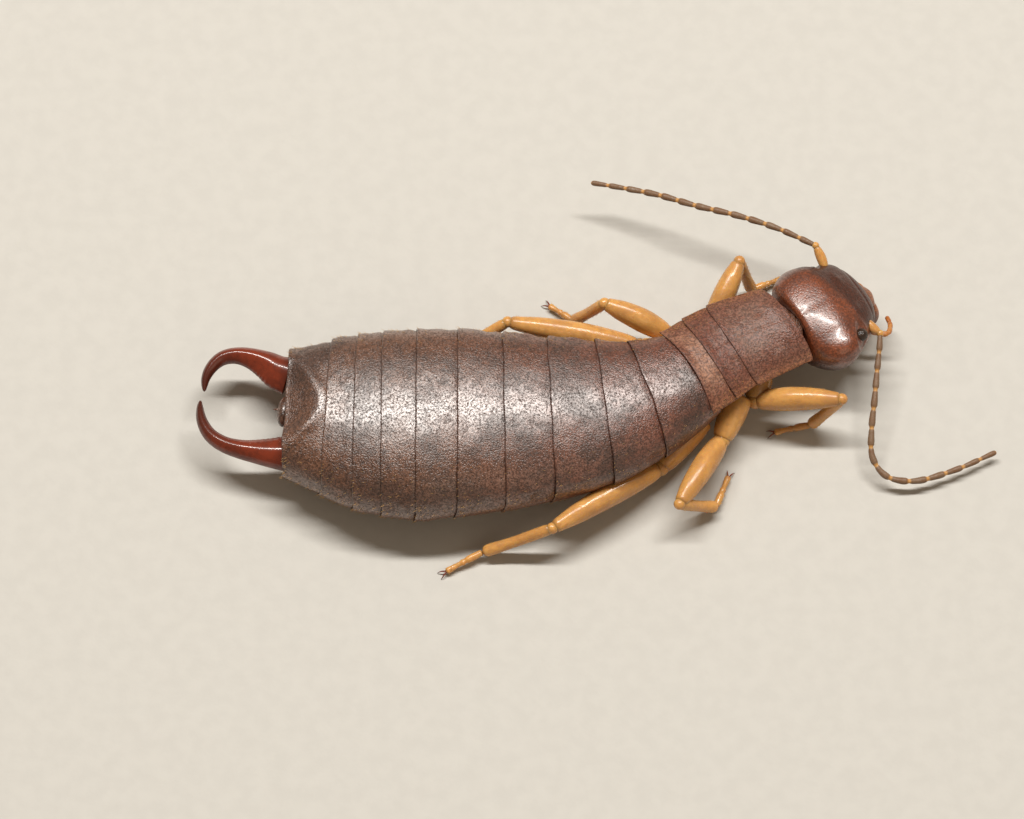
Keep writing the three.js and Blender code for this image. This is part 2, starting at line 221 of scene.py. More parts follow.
class EarwigColours(bpy.types.PropertyGroup):
    """Colours of the animal and its stage"""

    plate: tint("Plate", "Dark brown of the rear back plates", (0.135, 0.058, 0.032))
    plate_front: tint("Front Plate", "Maroon brown of the front back plates", (0.14, 0.045, 0.026))
    # Plate Cloud is the back plates' random darker clouds and also the painted shade in the thorax shields' pits.
    plate_cloud_and_pit_shade: tint("Plate Cloud", "Darker clouds of the back plates", (0.05, 0.021, 0.013))
    plate_side: tint("Plate Side", "Red brown sides of the back plates", (0.19, 0.062, 0.025))
    plate_edge: tint("Plate Edge", "Thin rear edge of a back plate", (0.05, 0.02, 0.013))
    shield: tint("Shield", "Mauve brown of the thorax plates", (0.19, 0.1, 0.07))
    rear: tint("Rear Shield", "Pinkish brown of the rear thorax shield", (0.3, 0.15, 0.095))
    flange: tint("Flange", "Clear amber margin of the neck shield", (0.3, 0.12, 0.045))
    belly: tint("Belly", "Underside and flanks", (0.12, 0.045, 0.022))
    head: tint("Head", "Red brown of the head", (0.19, 0.045, 0.014))
    # Dark Head is the head's darker face and also painted shade, on the head's cheeks and underside and in the back
    # plates' pits.
    head_dark_and_shade: tint("Dark Head", "Dark face and cheeks", (0.045, 0.01, 0.004))
    mouth: tint("Mouth", "Orange of the mouthparts", (0.36, 0.11, 0.025))
    eye: tint("Eye", "Black of the eyes", (0.006, 0.005, 0.005))
    feeler: tint("Feeler", "Grey brown of the feelers", (0.2, 0.125, 0.075))
    leg: tint("Leg", "Amber of the legs", (0.66, 0.34, 0.1))
    leg_dark: tint("Leg Joint", "Brown of the leg joints", (0.17, 0.07, 0.025))
    forceps: tint("Forceps", "Red brown of the forceps", (0.21, 0.032, 0.012))
    forceps_tip: tint("Forceps Tip", "Dark tips of the forceps", (0.05, 0.012, 0.007))
    bristle: tint("Bristle", "Gold of the bristles", (0.62, 0.38, 0.14))
    floor: tint("Floor", "Pale floor", (0.58, 0.565, 0.53))


def sizes():
    return bpy.context.scene.earwig_sizes


def colours():
    return bpy.context.scene.earwig_colours


def colour(name):
    return (*getattr(colours(), name), 1.0)


# ---- Shared shapes ----


def ease(low, high, value):
    share = min(max((value - low) / (high - low), 0.0), 1.0)
    return share * share * (3 - 2 * share)


def swell(value, centre, width):
    return math.exp(-(((value - centre) / width) ** 2))


def squared(value, power):
    return math.copysign(abs(value) ** (2 / power), value)


def profile(table, share):
    """The values at a share of a piece's length, taken smoothly between the rows of its table."""
    row = 0
    while row < len(table) - 2 and table[row + 1][0] < share:
        row += 1
    before, first, last, after = (
        table[max(row - 1, 0)], table[row], table[row + 1], table[min(row + 2, len(table) - 1)]
    )
    span = last[0] - first[0]
    t = min(max((share - first[0]) / span, 0.0), 1.0)
    values = []
    for y0, y1, y2, y3 in zip(before[1:], first[1:], last[1:], after[1:]):
        start = (y2 - y0) / (last[0] - before[0]) * span
        end = (y3 - y1) / (after[0] - first[0]) * span
        bend = 3 * (y2 - y1) - 2 * start - end
        twist = 2 * (y1 - y2) + start + end
        values.append(y1 + start * t + bend * t * t + twist * t**3)
    return values


def frame_of(middle, forward, roll=0.0):
    """A section's middle with its directions forward, to the animal's right and up."""
    side = forward.cross(UP).normalized()
    over = side.cross(forward).normalized()
    if roll:
        turn = Matrix.Rotation(roll, 3, forward)
        side = turn @ side
        over = turn @ over
    return middle, forward, side, over


class Line:
    """A smooth line through points, counted in points or read by its share of length."""

    STEPS = 240

    def __init__(self, points):
        self.points = [Vector(point) for point in points]
        self.lengths = [0.0]
        last = self.points[0]
        for step in range(1, self.STEPS + 1):
            here = self.spot(step / self.STEPS * (len(self.points) - 1))
            self.lengths.append(self.lengths[-1] + (here - last).length)
            last = here

    def spot(self, count):
        points = self.points
        row = min(max(int(count), 0), len(points) - 2)
        t = count - row
        first, last = points[row], points[row + 1]
        before = points[row - 1] if row > 0 else 2 * first - last
        after = points[row + 2] if row + 2 < len(points) else 2 * last - first
        gaps = [max((b - a).length ** 0.5, 1e-4) for a, b in ((before, first), (first, last), (last, after))]
        start = (first - before) / gaps[0] - (last - before) / (gaps[0] + gaps[1]) + (last - first) / gaps[1]
        end = (last - first) / gaps[1] - (after - first) / (gaps[1] + gaps[2]) + (after - last) / gaps[2]
        start *= gaps[1]
        end *= gaps[1]
        bend = 3 * (last - first) - 2 * start - end
        twist = 2 * (first - last) + start + end
        return first + start * t + bend * t * t + twist * t**3

    def frame(self, count, roll=0.0):
        forward = (self.spot(count + 0.01) - self.spot(count - 0.01)).normalized()
        return frame_of(self.spot(count), forward, roll)

    def at(self, share, roll=0.0):
        """The frame at a share of the line's length."""
        wanted = min(max(share, 0.0), 1.0) * self.lengths[-1]
        low, high = 0, self.STEPS
        while high - low > 1:
            middle = (low + high) // 2
            if self.lengths[middle] < wanted:
                low = middle
            else:
                high = middle
        part = (wanted - self.lengths[low]) / max(self.lengths[high] - self.lengths[low], 1e-9)
        return self.frame((low + part) / self.STEPS * (len(self.points) - 1), roll)


def on_section(section, turn, wide, top, low=None, square=2.0, tuck=0.0):
    """A place on a section, turned from its highest point towards the animal's right."""
    middle, _, side, over = section
    height = squared(math.cos(turn), square)
    reach = squared(math.sin(turn), square) * wide * (1 + tuck * min(height, 0))
    place = middle + side * reach + over * height * (top if height > 0 or low is None else low)
    place.z = max(place.z, FLOOR_CLEAR)
    return place


TRUNK = Line([joint[:3] for joint in JOINTS])
TRUNK_SIZES = [(count, joint[3], joint[4]) for count, joint in enumerate(JOINTS)]
TRUNK_LEANS = [(count, joint[5]) for count, joint in enumerate(JOINTS)]


def trunk_frame(count):
    """The trunk's section at a count of joints from the tail; past the neck it goes straight on."""
    held = min(max(count, 0.0), NECK)
    rise = TRUNK.spot(min(held + 0.01, NECK)) - TRUNK.spot(max(held - 0.01, 0.0))
    (lean,) = profile(TRUNK_LEANS, held)
    forward = Vector((1, lean, rise.z / rise.x)).normalized()
    return frame_of(TRUNK.spot(held) + forward * (count - held), forward)


def back_at(count, turn, lift=0.0, tuck=0.1):
    """A place on the trunk, counted in joints from the tail and turned from the back's ridge."""
    wide, high = profile(TRUNK_SIZES, count)
    return on_section(
        trunk_frame(count), turn, wide + lift, high + lift, high + BELLY_FLAT + lift, SQUARE, tuck
    )


def on_head(along, side, up):
    """A place on the head from its distance ahead of its middle, to the left and up."""
    return HEAD_MIDDLE + HEAD_TURN @ Vector((along, side, up))


def model_shift():
    """The step from the animal's own frame to the model's, found from the right eye."""
    low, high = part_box("eye_right")
    return (low + high) / 2 / MM - on_head(EYE["along"], -EYE["side"], EYE["up"])


SHIFT = model_shift()


# ---- Mesh making ----


def skin(mesh, around, along, shape, material=0, patch=None):
    """Adds a grid to the mesh and lays each of its points where shape(u, v) says."""
    grid = bmesh.ops.create_grid(mesh, x_segments=around, y_segments=along, size=0.5)
    spots = {vertex: (vertex.co.x + 0.5, vertex.co.y + 0.5) for vertex in grid["verts"]}
    layer = mesh.loops.layers.uv.verify()
    origin, size = patch or ((0.0, 0.0), 1.0)
    for face in {face for vertex in spots for face in vertex.link_faces}:
        face.material_index = material
        face.smooth = True
        for loop in face.loops:
            u, v = spots[loop.vert]
            loop[layer].uv = (origin[0] + u * size, origin[1] + v * size)
    for vertex, (u, v) in spots.items():
        vertex.co = shape(u, v)
    return list(spots)


def tube(mesh, line, size, around, along, material=0, roll=0.0, square=2.0, first=0.0, last=1.0, cap=0.04):
    """Adds a closed tube along a line, with its half width and half height from size(share)."""

    def shape(u, v):
        share = first + (last - first) * (1 - math.cos(math.pi * v)) / 2
        part = (share - first) / (last - first)
        near = min(part, 1 - part)
        blunt = math.sqrt(max(1 - (1 - min(near / cap, 1.0)) ** 2, 0.0))
        wide, high = size(share)
        return on_section(line.at(share, roll), u * math.tau, wide * blunt, high * blunt, None, square)

    return skin(mesh, around, along, shape, material)


def ball(mesh, middle, turn, radii, around=24, along=16, material=0):
    """Adds a closed oval body."""

    def shape(u, v):
        ring = math.sin(math.pi * v)
        place = Vector((
            -math.cos(math.pi * v) * radii[0],
            math.cos(u * math.tau) * ring * radii[1],
            math.sin(u * math.tau) * ring * radii[2],
        ))
        return middle + turn @ place

    return skin(mesh, around, along, shape, material)


def finish_piece(mesh, name, nodes, materials, wall=0.0, levels=0, closed=True, uv="UVMap"):
    """Closes the mesh, brings it to its place in metres and makes it a piece of the model."""
    bmesh.ops.remove_doubles(mesh, verts=mesh.verts, dist=1e-5)
    if closed:
        bmesh.ops.recalc_face_normals(mesh, faces=mesh.faces)
    bmesh.ops.translate(mesh, verts=mesh.verts, vec=SHIFT)
    bmesh.ops.scale(mesh, verts=mesh.verts, vec=(MM, MM, MM))
    data = bpy.data.meshes.new(name)
    mesh.to_mesh(data)
    mesh.free()
    data.uv_layers[0].name = uv
    piece = bpy.data.objects.new(name, data)
    bpy.context.scene.collection.objects.link(piece)
    for material in materials:
        data.materials.append(material)
    if wall:
        shell = piece.modifiers.new("Wall", "SOLIDIFY")
        shell.thickness = wall
        shell.offset = -1
    if levels:
        smooth = piece.modifiers.new("Smooth", "SUBSURF")
        smooth.levels = levels
        smooth.render_levels = levels
    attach(piece, "root")
    if nodes:
        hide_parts(*nodes)
    return piece


def face_out(mesh, around, along):
    """Turns an open shell's faces away from the inside of the body."""
    mesh.normal_update()
    mesh.faces.ensure_lookup_table()
    middle = mesh.faces[(along // 2) * around + around // 2]
    if middle.normal.z < 0:
        bmesh.ops.reverse_faces(mesh, faces=mesh.faces)


# ---- Materials ----


def add(tree, kind, inputs=None, **settings):
    """Adds a shader node with its settings, and with values or links on its named inputs."""
    made = tree.nodes.new(kind)
    for name, value in settings.items():
        setattr(made, name, value)
    for name, value in (inputs or {}).items():
        socket = made.inputs[name]
        if isinstance(value, bpy.types.NodeSocket):
            tree.links.new(value, socket)
        else:
            socket.default_value = value
    return made


def math_node(tree, operation, first, second=0.0, clamp=False):
    return add(tree, "ShaderNodeMath", {0: first, 1: second}, operation=operation, use_clamp=clamp).outputs[0]


def span(tree, value, low, high, out_low=0.0, out_high=1.0):
    """A value's smooth place between two limits."""
    inputs = {"Value": value, "From Min": low, "From Max": high, "To Min": out_low, "To Max": out_high}
    return add(tree, "ShaderNodeMapRange", inputs, interpolation_type="SMOOTHSTEP").outputs["Result"]


def blend(tree, share, first, second, mode="MIX"):
    made = add(tree, "ShaderNodeMix", data_type="RGBA", blend_type=mode)
    for name, value in (("Factor_Float", share), ("A_Color", first), ("B_Color", second)):
        socket = next(s for s in made.inputs if s.identifier == name)
        if isinstance(value, bpy.types.NodeSocket):
            tree.links.new(value, socket)
        else:
            socket.default_value = value
    return next(s for s in made.outputs if s.identifier == "Result_Color")


def new_group(name, inputs, outputs):
    tree = bpy.data.node_groups.new(name, "ShaderNodeTree")
    for label, kind, default in inputs:
        socket = tree.interface.new_socket(name=label, in_out="INPUT", socket_type=kind)
        if default is not None:
            socket.default_value = default
    for label, kind in outputs:
        tree.interface.new_socket(name=label, in_out="OUTPUT", socket_type=kind)
    return tree, add(tree, "NodeGroupInput").outputs, add(tree, "NodeGroupOutput").inputs


def pitted_group():
    """Small round pits and a fine grain over a hard shell."""
    group, given, made = new_group(
        "Pitted Shell",
        [
            ("Vector", "NodeSocketVector", None),
            ("Scale", "NodeSocketFloat", 20000.0),
            ("Pit Share", "NodeSocketFloat", 0.6),
            ("Grain", "NodeSocketFloat", 0.3),
        ],
        [("Height", "NodeSocketFloat"), ("Pits", "NodeSocketFloat")],
    )
    cells = add(
        group,
        "ShaderNodeTexVoronoi",
        {"Vector": given["Vector"], "Scale": given["Scale"], "Randomness": 1.0},
        feature="SMOOTH_F1",
    )
    pits = span(group, cells.outputs["Distance"], 0.1, 0.55, 1.0, 0.0)
    patches = add(
        group,
        "ShaderNodeTexNoise",
        {"Vector": given["Vector"], "Scale": math_node(group, "MULTIPLY", given["Scale"], 0.21), "Detail": 2.0},
    )
    open_share = span(group, patches.outputs["Fac"], 0.35, 0.6, 0.45, 1.0)
    pits = math_node(group, "MULTIPLY", math_node(group, "MULTIPLY", pits, open_share), given["Pit Share"])
    grain = add(
        group,
        "ShaderNodeTexNoise",
        {"Vector": given["Vector"], "Scale": math_node(group, "MULTIPLY", given["Scale"], 1.3), "Detail": 3.0},
    )
    height = math_node(
        group,
        "SUBTRACT",
        math_node(group, "MULTIPLY", grain.outputs["Fac"], given["Grain"]),
        pits,
    )
    group.links.new(height, made["Height"])
    group.links.new(pits, made["Pits"])
    return group


def mottled_group():
    """Two colours in soft clouds, with a finer cloud over them."""
    group, given, made = new_group(
        "Mottled Shell",
        [
            ("Vector", "NodeSocketVector", None),
            ("Scale", "NodeSocketFloat", 900.0),
            ("Main", "NodeSocketColor", (0.1, 0.05, 0.03, 1.0)),
            ("Cloud", "NodeSocketColor", (0.05, 0.03, 0.02, 1.0)),
            ("Amount", "NodeSocketFloat", 0.6),
        ],
        [("Color", "NodeSocketColor"), ("Clouds", "NodeSocketFloat")],
    )
    broad = add(
        group,
        "ShaderNodeTexNoise",
        {"Vector": given["Vector"], "Scale": given["Scale"], "Detail": 4.0, "Roughness": 0.6},
    )
    fine = add(
        group,
        "ShaderNodeTexNoise",
        {"Vector": given["Vector"], "Scale": math_node(group, "MULTIPLY", given["Scale"], 7.0), "Detail": 3.0},
    )
    both = math_node(
        group,
        "ADD",
        math_node(group, "MULTIPLY", broad.outputs["Fac"], 0.65),
        math_node(group, "MULTIPLY", fine.outputs["Fac"], 0.35),
    )
    clouds = span(group, both, 0.4, 0.62)
    share = math_node(group, "MULTIPLY", clouds, given["Amount"])
    group.links.new(blend(group, share, given["Main"], given["Cloud"]), made["Color"])
    group.links.new(clouds, made["Clouds"])
    return group


def speckled_group():
    """Fine light and dark specks over a colour."""
    group, given, made = new_group(
        "Speckled Shell",
        [
            ("Vector", "NodeSocketVector", None),
            ("Scale", "NodeSocketFloat", 24000.0),
            ("Color", "NodeSocketColor", (0.1, 0.05, 0.03, 1.0)),
            ("Amount", "NodeSocketFloat", 0.4),
        ],
        [("Color", "NodeSocketColor"), ("Specks", "NodeSocketFloat")],
    )
    specks = add(
        group,
        "ShaderNodeTexNoise",
        {"Vector": given["Vector"], "Scale": given["Scale"], "Detail": 2.0, "Roughness": 0.7},
    )
    share = span(group, specks.outputs["Fac"], 0.36, 0.66, -1.0, 1.0)
    gain = math_node(group, "ADD", math_node(group, "MULTIPLY", share, given["Amount"]), 1.0)
    group.links.new(blend(group, 1.0, given["Color"], gain, "MULTIPLY"), made["Color"])
    group.links.new(span(group, specks.outputs["Fac"], 0.38, 0.62), made["Specks"])
    return group


def band_group():
    """Masks for a piece's two sides and for its rear and front edges, read from its own map."""
    group, given, made = new_group(
        "Piece Edges",
        [
            ("Vector", "NodeSocketVector", None),
            ("Side Width", "NodeSocketFloat", 0.2),
            ("Rear Width", "NodeSocketFloat", 0.06),
            ("Front Width", "NodeSocketFloat", 0.2),
        ],
        [("Sides", "NodeSocketFloat"), ("Rear", "NodeSocketFloat"), ("Front", "NodeSocketFloat")],
    )
    parts = add(group, "ShaderNodeSeparateXYZ", {"Vector": given["Vector"]}).outputs
    off_middle = math_node(group, "ABSOLUTE", math_node(group, "SUBTRACT", parts["X"], 0.5))
    inner = math_node(group, "SUBTRACT", 0.5, given["Side Width"])
    group.links.new(span(group, off_middle, inner, 0.5), made["Sides"])
    group.links.new(span(group, parts["Y"], given["Rear Width"], 0.0), made["Rear"])
    start = math_node(group, "SUBTRACT", 1.0, given["Front Width"])
    group.links.new(span(group, parts["Y"], start, 1.0), made["Front"])
    return group


def group_node(tree, name, makers, inputs):
    """Places a shared node group, which is made the first time it is asked for."""
    if name not in bpy.data.node_groups:
        makers()
    return add(tree, "ShaderNodeGroup", inputs, node_tree=bpy.data.node_groups[name])


GROUPS = {
    "Pitted Shell": pitted_group,
    "Mottled Shell": mottled_group,
    "Speckled Shell": speckled_group,
    "Piece Edges": band_group,
}


def group_of(tree, name, inputs):
    if name not in bpy.data.node_groups:
        GROUPS[name]()
    made = add(tree, "ShaderNodeGroup", node_tree=bpy.data.node_groups[name])
    for label, value in inputs.items():
        socket = made.inputs[label]
        if isinstance(value, bpy.types.NodeSocket):
            tree.links.new(value, socket)
        else:
            socket.default_value = value
    return made.outputs


def speckled(tree, place, scale, paint, amount):
    """A colour with fine specks over it."""
    inputs = {"Vector": place, "Scale": scale, "Color": paint, "Amount": amount}
    return group_of(tree, "Speckled Shell", inputs)["Color"]


def new_material(name, **constants):
    """A material with its shader's own constants, its tree, and its object and map coordinates."""
    material = bpy.data.materials.new(name)
    material.use_nodes = True
    tree = material.node_tree
    shader = tree.nodes["Principled BSDF"]
    for label, value in constants.items():
        shader.inputs[label.replace("_", " ")].default_value = value
    place = add(tree, "ShaderNodeTexCoord").outputs["Object"]
    across = add(tree, "ShaderNodeUVMap", uv_map="UVMap").outputs["UV"]
    return material, tree, shader, place, across


def relief(tree, shader, height, depth):
    """Raises the surface by a height."""
    bump = add(tree, "ShaderNodeBump", {"Height": height, "Distance": depth})
    tree.links.new(bump.outputs["Normal"], shader.inputs["Normal"])


def plate_material():
    """Dark, finely pitted shell with a broad satin gloss, redder towards the front of the body, with painted shade
    darkening its pits.
    """
    material, tree, shader, place, across = new_material(
        "Dark Pitted Plate", IOR=1.5, Specular_IOR_Level=0.85, Coat_Roughness=0.27, Coat_IOR=1.75
    )
    parts = add(tree, "ShaderNodeSeparateXYZ", {"Vector": place}).outputs
    frontness = span(tree, parts["X"], -0.005, 0.0015)
    base = blend(tree, frontness, colour("plate"), colour("plate_front"))
    mottled = group_of(
        tree,
        "Mottled Shell",
        {"Vector": place, "Scale": 850.0, "Main": base, "Cloud": colour("plate_cloud_and_pit_shade"), "Amount": 0.85},
    )
    edges = group_of(
        tree,
        "Piece Edges",
        {"Vector": across, "Side Width": 0.26, "Rear Width": 0.03, "Front Width": 0.3},
    )
    paint = blend(tree, math_node(tree, "MULTIPLY", edges["Sides"], 0.8), mottled["Color"], colour("plate_side"))
    paint = blend(tree, math_node(tree, "MULTIPLY", edges["Rear"], 0.7), paint, colour("plate_edge"))
    pitted = group_of(
        tree,
        "Pitted Shell",
        {"Vector": place, "Scale": 1 / sizes().pit, "Pit Share": 0.6, "Grain": 0.9},
    )
    # Painted shade: the small pits are painted darker, as if shaded, with the dark head colour.
    paint = blend(tree, math_node(tree, "MULTIPLY", pitted["Pits"], 0.5), paint, colour("head_dark_and_shade"))
    specks = group_of(
        tree,
        "Speckled Shell",
        {"Vector": place, "Scale": 21000.0, "Color": paint, "Amount": 0.48},
    )
    tree.links.new(specks["Color"], shader.inputs["Base Color"])
    shine = math_node(tree, "MULTIPLY", specks["Specks"], 1.0)
    dim = math_node(tree, "SUBTRACT", 1.0, math_node(tree, "MULTIPLY", mottled["Clouds"], 0.3))
    dim = math_node(tree, "SUBTRACT", dim, math_node(tree, "MULTIPLY", frontness, 0.42))
    tree.links.new(math_node(tree, "MULTIPLY", shine, dim), shader.inputs["Coat Weight"])
    rough = math_node(tree, "ADD", math_node(tree, "MULTIPLY", mottled["Clouds"], 0.08), 0.27)
    rough = math_node(tree, "ADD", rough, math_node(tree, "MULTIPLY", pitted["Pits"], 0.2))
    rough = math_node(tree, "ADD", rough, math_node(tree, "MULTIPLY", frontness, 0.05))
    tree.links.new(rough, shader.inputs["Roughness"])
    relief(tree, shader, pitted["Height"], sizes().pit_depth)
    return material


def shield_material(name="Mauve Thorax Shield", main="shield", cloud="plate_front"):
    """Duller mauve-brown shell with clear amber side margins, with painted shade darkening its pits."""
    material, tree, shader, place, across = new_material(name, IOR=1.5)
    mottled = group_of(
        tree,
        "Mottled Shell",
        {
            "Vector": place,
            "Scale": 1100.0,
            "Main": colour(main),
            "Cloud": colour(cloud),
            "Amount": 0.75,
        },
    )
    edges = group_of(
        tree,
        "Piece Edges",
        {"Vector": across, "Side Width": 0.13, "Rear Width": 0.05, "Front Width": 0.08},
    )
    border = group_of(
        tree,
        "Piece Edges",
        {"Vector": across, "Side Width": 0.36, "Rear Width": 0.25, "Front Width": 0.35},
    )
    rim = math_node(tree, "MAXIMUM", math_node(tree, "MAXIMUM", border["Sides"], border["Rear"]), border["Front"])
    paint = blend(tree, math_node(tree, "MULTIPLY", rim, 0.7), mottled["Color"], colour("plate_front"))
    paint = blend(tree, math_node(tree, "MULTIPLY", edges["Sides"], 0.35), paint, colour("flange"))
    paint = blend(tree, math_node(tree, "MULTIPLY", edges["Rear"], 0.5), paint, colour("plate_edge"))
    pitted = group_of(
        tree,
        "Pitted Shell",
        {"Vector": place, "Scale": 0.8 / sizes().pit, "Pit Share": 0.5, "Grain": 0.7},
    )
    # Painted shade: the small pits are painted darker, as if shaded, with the plate cloud colour.
    paint = blend(tree, math_node(tree, "MULTIPLY", pitted["Pits"], 0.35), paint, colour("plate_cloud_and_pit_shade"))
    tree.links.new(speckled(tree, place, 20000.0, paint, 0.45), shader.inputs["Base Color"])
    rough = math_node(tree, "ADD", math_node(tree, "MULTIPLY", mottled["Clouds"], -0.12), 0.52)
    tree.links.new(rough, shader.inputs["Roughness"])
    relief(tree, shader, pitted["Height"], sizes().pit_depth)
    return material


def belly_material():
    """Soft, creased skin of the flanks and the underside, with firmer brown patches."""
    material, tree, shader, place, across = new_material("Creased Flank", IOR=1.45)
    mottled = group_of(
        tree,
        "Mottled Shell",
        {
            "Vector": place,
            "Scale": 1500.0,
            "Main": colour("belly"),
            "Cloud": colour("leg_dark"),
            "Amount": 0.9,
        },
    )
    tree.links.new(mottled["Color"], shader.inputs["Base Color"])
    creases = add(
        tree, "ShaderNodeTexNoise", {"Vector": place, "Scale": 9000.0, "Detail": 5.0, "Distortion": 0.6}
    )
    rough = math_node(tree, "ADD", math_node(tree, "MULTIPLY", mottled["Clouds"], 0.15), 0.38)
    tree.links.new(rough, shader.inputs["Roughness"])
    relief(tree, shader, creases.outputs["Fac"], 0.00002)
    return material


def head_place(tree, place):
    """Coordinates in the head's own directions, in millimetres: ahead, left and up."""
    inputs = {
        "Vector": place,
        "Location": (HEAD_MIDDLE + SHIFT) * MM,
        "Rotation": HEAD_TURN.to_euler(),
        "Scale": (MM, MM, MM),
    }
    return add(tree, "ShaderNodeMapping", inputs, vector_type="TEXTURE").outputs["Vector"]


def head_material():
    """Glossy red-brown head with a darker face, and painted shade darkening its cheeks and underside."""
    material, tree, shader, place, _ = new_material(
        "Glossy Red Brown Head", IOR=1.5, Specular_IOR_Level=0.9, Coat_Roughness=0.16
    )
    local = head_place(tree, place)
    parts = add(tree, "ShaderNodeSeparateXYZ", {"Vector": local}).outputs
    mottled = group_of(
        tree,
        "Mottled Shell",
        {"Vector": local, "Scale": 1.6, "Main": colour("head"), "Cloud": colour("head_dark_and_shade"), "Amount": 0.6},
    )
    wander = add(tree, "ShaderNodeTexNoise", {"Vector": local, "Scale": 3.0, "Detail": 3.0}).outputs["Fac"]
    ahead = math_node(tree, "ADD", parts["X"], math_node(tree, "MULTIPLY", wander, 0.3))
    ahead = math_node(tree, "ADD", ahead, math_node(tree, "MULTIPLY", parts["Y"], 0.3))
    face = span(tree, ahead, 0.36, 0.62)
    # Painted shade: the head's lower side and cheeks are painted darker towards the bottom, as if shaded.
    low = span(tree, parts["Z"], 0.05, -0.45)
    dark = math_node(tree, "MAXIMUM", math_node(tree, "MULTIPLY", face, 0.92), low)
    paint = blend(tree, dark, mottled["Color"], colour("head_dark_and_shade"))
    lip = span(tree, parts["X"], 1.08, 1.35)
    paint = blend(tree, math_node(tree, "MULTIPLY", lip, 0.7), paint, colour("mouth"))
    specks = group_of(
        tree, "Speckled Shell", {"Vector": local, "Scale": 24.0, "Color": paint, "Amount": 0.4}
    )
    tree.links.new(specks["Color"], shader.inputs["Base Color"])
    pitted = group_of(
        tree,
        "Pitted Shell",
        {"Vector": local, "Scale": 22.0, "Pit Share": 0.5, "Grain": 0.6},
    )
    shine = math_node(tree, "SUBTRACT", 0.75, math_node(tree, "MULTIPLY", dark, 0.6))
    grain = math_node(tree, "ADD", math_node(tree, "MULTIPLY", specks["Specks"], 0.7), 0.3)
    tree.links.new(math_node(tree, "MULTIPLY", shine, grain), shader.inputs["Coat Weight"])
    rough = math_node(tree, "ADD", math_node(tree, "MULTIPLY", mottled["Clouds"], 0.08), 0.34)
    tree.links.new(rough, shader.inputs["Roughness"])
    relief(tree, shader, pitted["Height"], 0.000007)
    return material


def eye_material():
    """Black eye with fine round facets."""
    material, tree, shader, place, _ = new_material("Faceted Black Eye", IOR=1.5)
    facets = add(tree, "ShaderNodeTexVoronoi", {"Vector": place, "Scale": 38000.0, "Randomness": 0.35})
    paint = blend(tree, span(tree, facets.outputs["Distance"], 0.2, 0.8), colour("leg_dark"), colour("eye"))
    dark = blend(tree, 0.75, paint, colour("eye"))
    tree.links.new(dark, shader.inputs["Base Color"])
    tree.links.new(span(tree, facets.outputs["Distance"], 0.1, 0.8, 0.12, 0.4), shader.inputs["Roughness"])
    domes = math_node(tree, "MULTIPLY", facets.outputs["Distance"], -1.0)
    relief(tree, shader, domes, 0.000008)
    return material


def clear_shell_material(name, main, cloud, joint, gloss=0.2, scale=1800.0, glow=0.3):
    """Amber shell that lets some light in, browner at both ends of each segment."""
    material, tree, shader, place, across = new_material(
        name,
        IOR=1.5,
        Subsurface_Weight=glow,
        Subsurface_Scale=0.0002,
        Subsurface_Radius=(1.0, 0.5, 0.2),
    )
    mottled = group_of(
        tree,
        "Mottled Shell",
        {"Vector": place, "Scale": scale, "Main": colour(main), "Cloud": colour(cloud), "Amount": 0.45},
    )
    parts = add(tree, "ShaderNodeSeparateXYZ", {"Vector": across}).outputs
    start = span(tree, parts["Y"], 0.2, 0.04)
    end = span(tree, parts["Y"], 0.82, 0.96)
    ends = math_node(tree, "MAXIMUM", start, end)
    paint = blend(tree, math_node(tree, "MULTIPLY", ends, 0.7), mottled["Color"], colour(joint))
    tree.links.new(paint, shader.inputs["Base Color"])
    pitted = group_of(
        tree,
        "Pitted Shell",
        {"Vector": place, "Scale": 26000.0, "Pit Share": 0.3, "Grain": 0.5},
    )
    rough = math_node(tree, "ADD", math_node(tree, "MULTIPLY", mottled["Clouds"], 0.12), gloss)
    tree.links.new(rough, shader.inputs["Roughness"])
    relief(tree, shader, pitted["Height"], 0.000004)
    return material


def feeler_material(name, beads):
    """Grey-brown beads with pale joints."""
    material, tree, shader, place, across = new_material(
        name, IOR=1.45, Subsurface_Weight=0.1, Subsurface_Scale=0.0001, Subsurface_Radius=(1.0, 0.6, 0.3)
    )
    parts = add(tree, "ShaderNodeSeparateXYZ", {"Vector": across}).outputs
    in_bead = math_node(tree, "FRACT", math_node(tree, "MULTIPLY", parts["Y"], float(beads)))
    off_middle = math_node(tree, "ABSOLUTE", math_node(tree, "SUBTRACT", in_bead, 0.5))
    joint = span(tree, off_middle, 0.36, 0.48)
    mottled = group_of(
        tree,
        "Mottled Shell",
        {
            "Vector": place,
            "Scale": 3500.0,
            "Main": colour("feeler"),
            "Cloud": colour("leg_dark"),
            "Amount": 0.6,
        },
    )
    paint = blend(tree, math_node(tree, "MULTIPLY", joint, 0.75), mottled["Color"], colour("leg"))
    tree.links.new(paint, shader.inputs["Base Color"])
    grain = add(tree, "ShaderNodeTexNoise", {"Vector": place, "Scale": 30000.0, "Detail": 3.0})
    tree.links.new(span(tree, grain.outputs["Fac"], 0.3, 0.7, 0.35, 0.6), shader.inputs["Roughness"])
    relief(tree, shader, grain.outputs["Fac"], 0.00001)
    return material


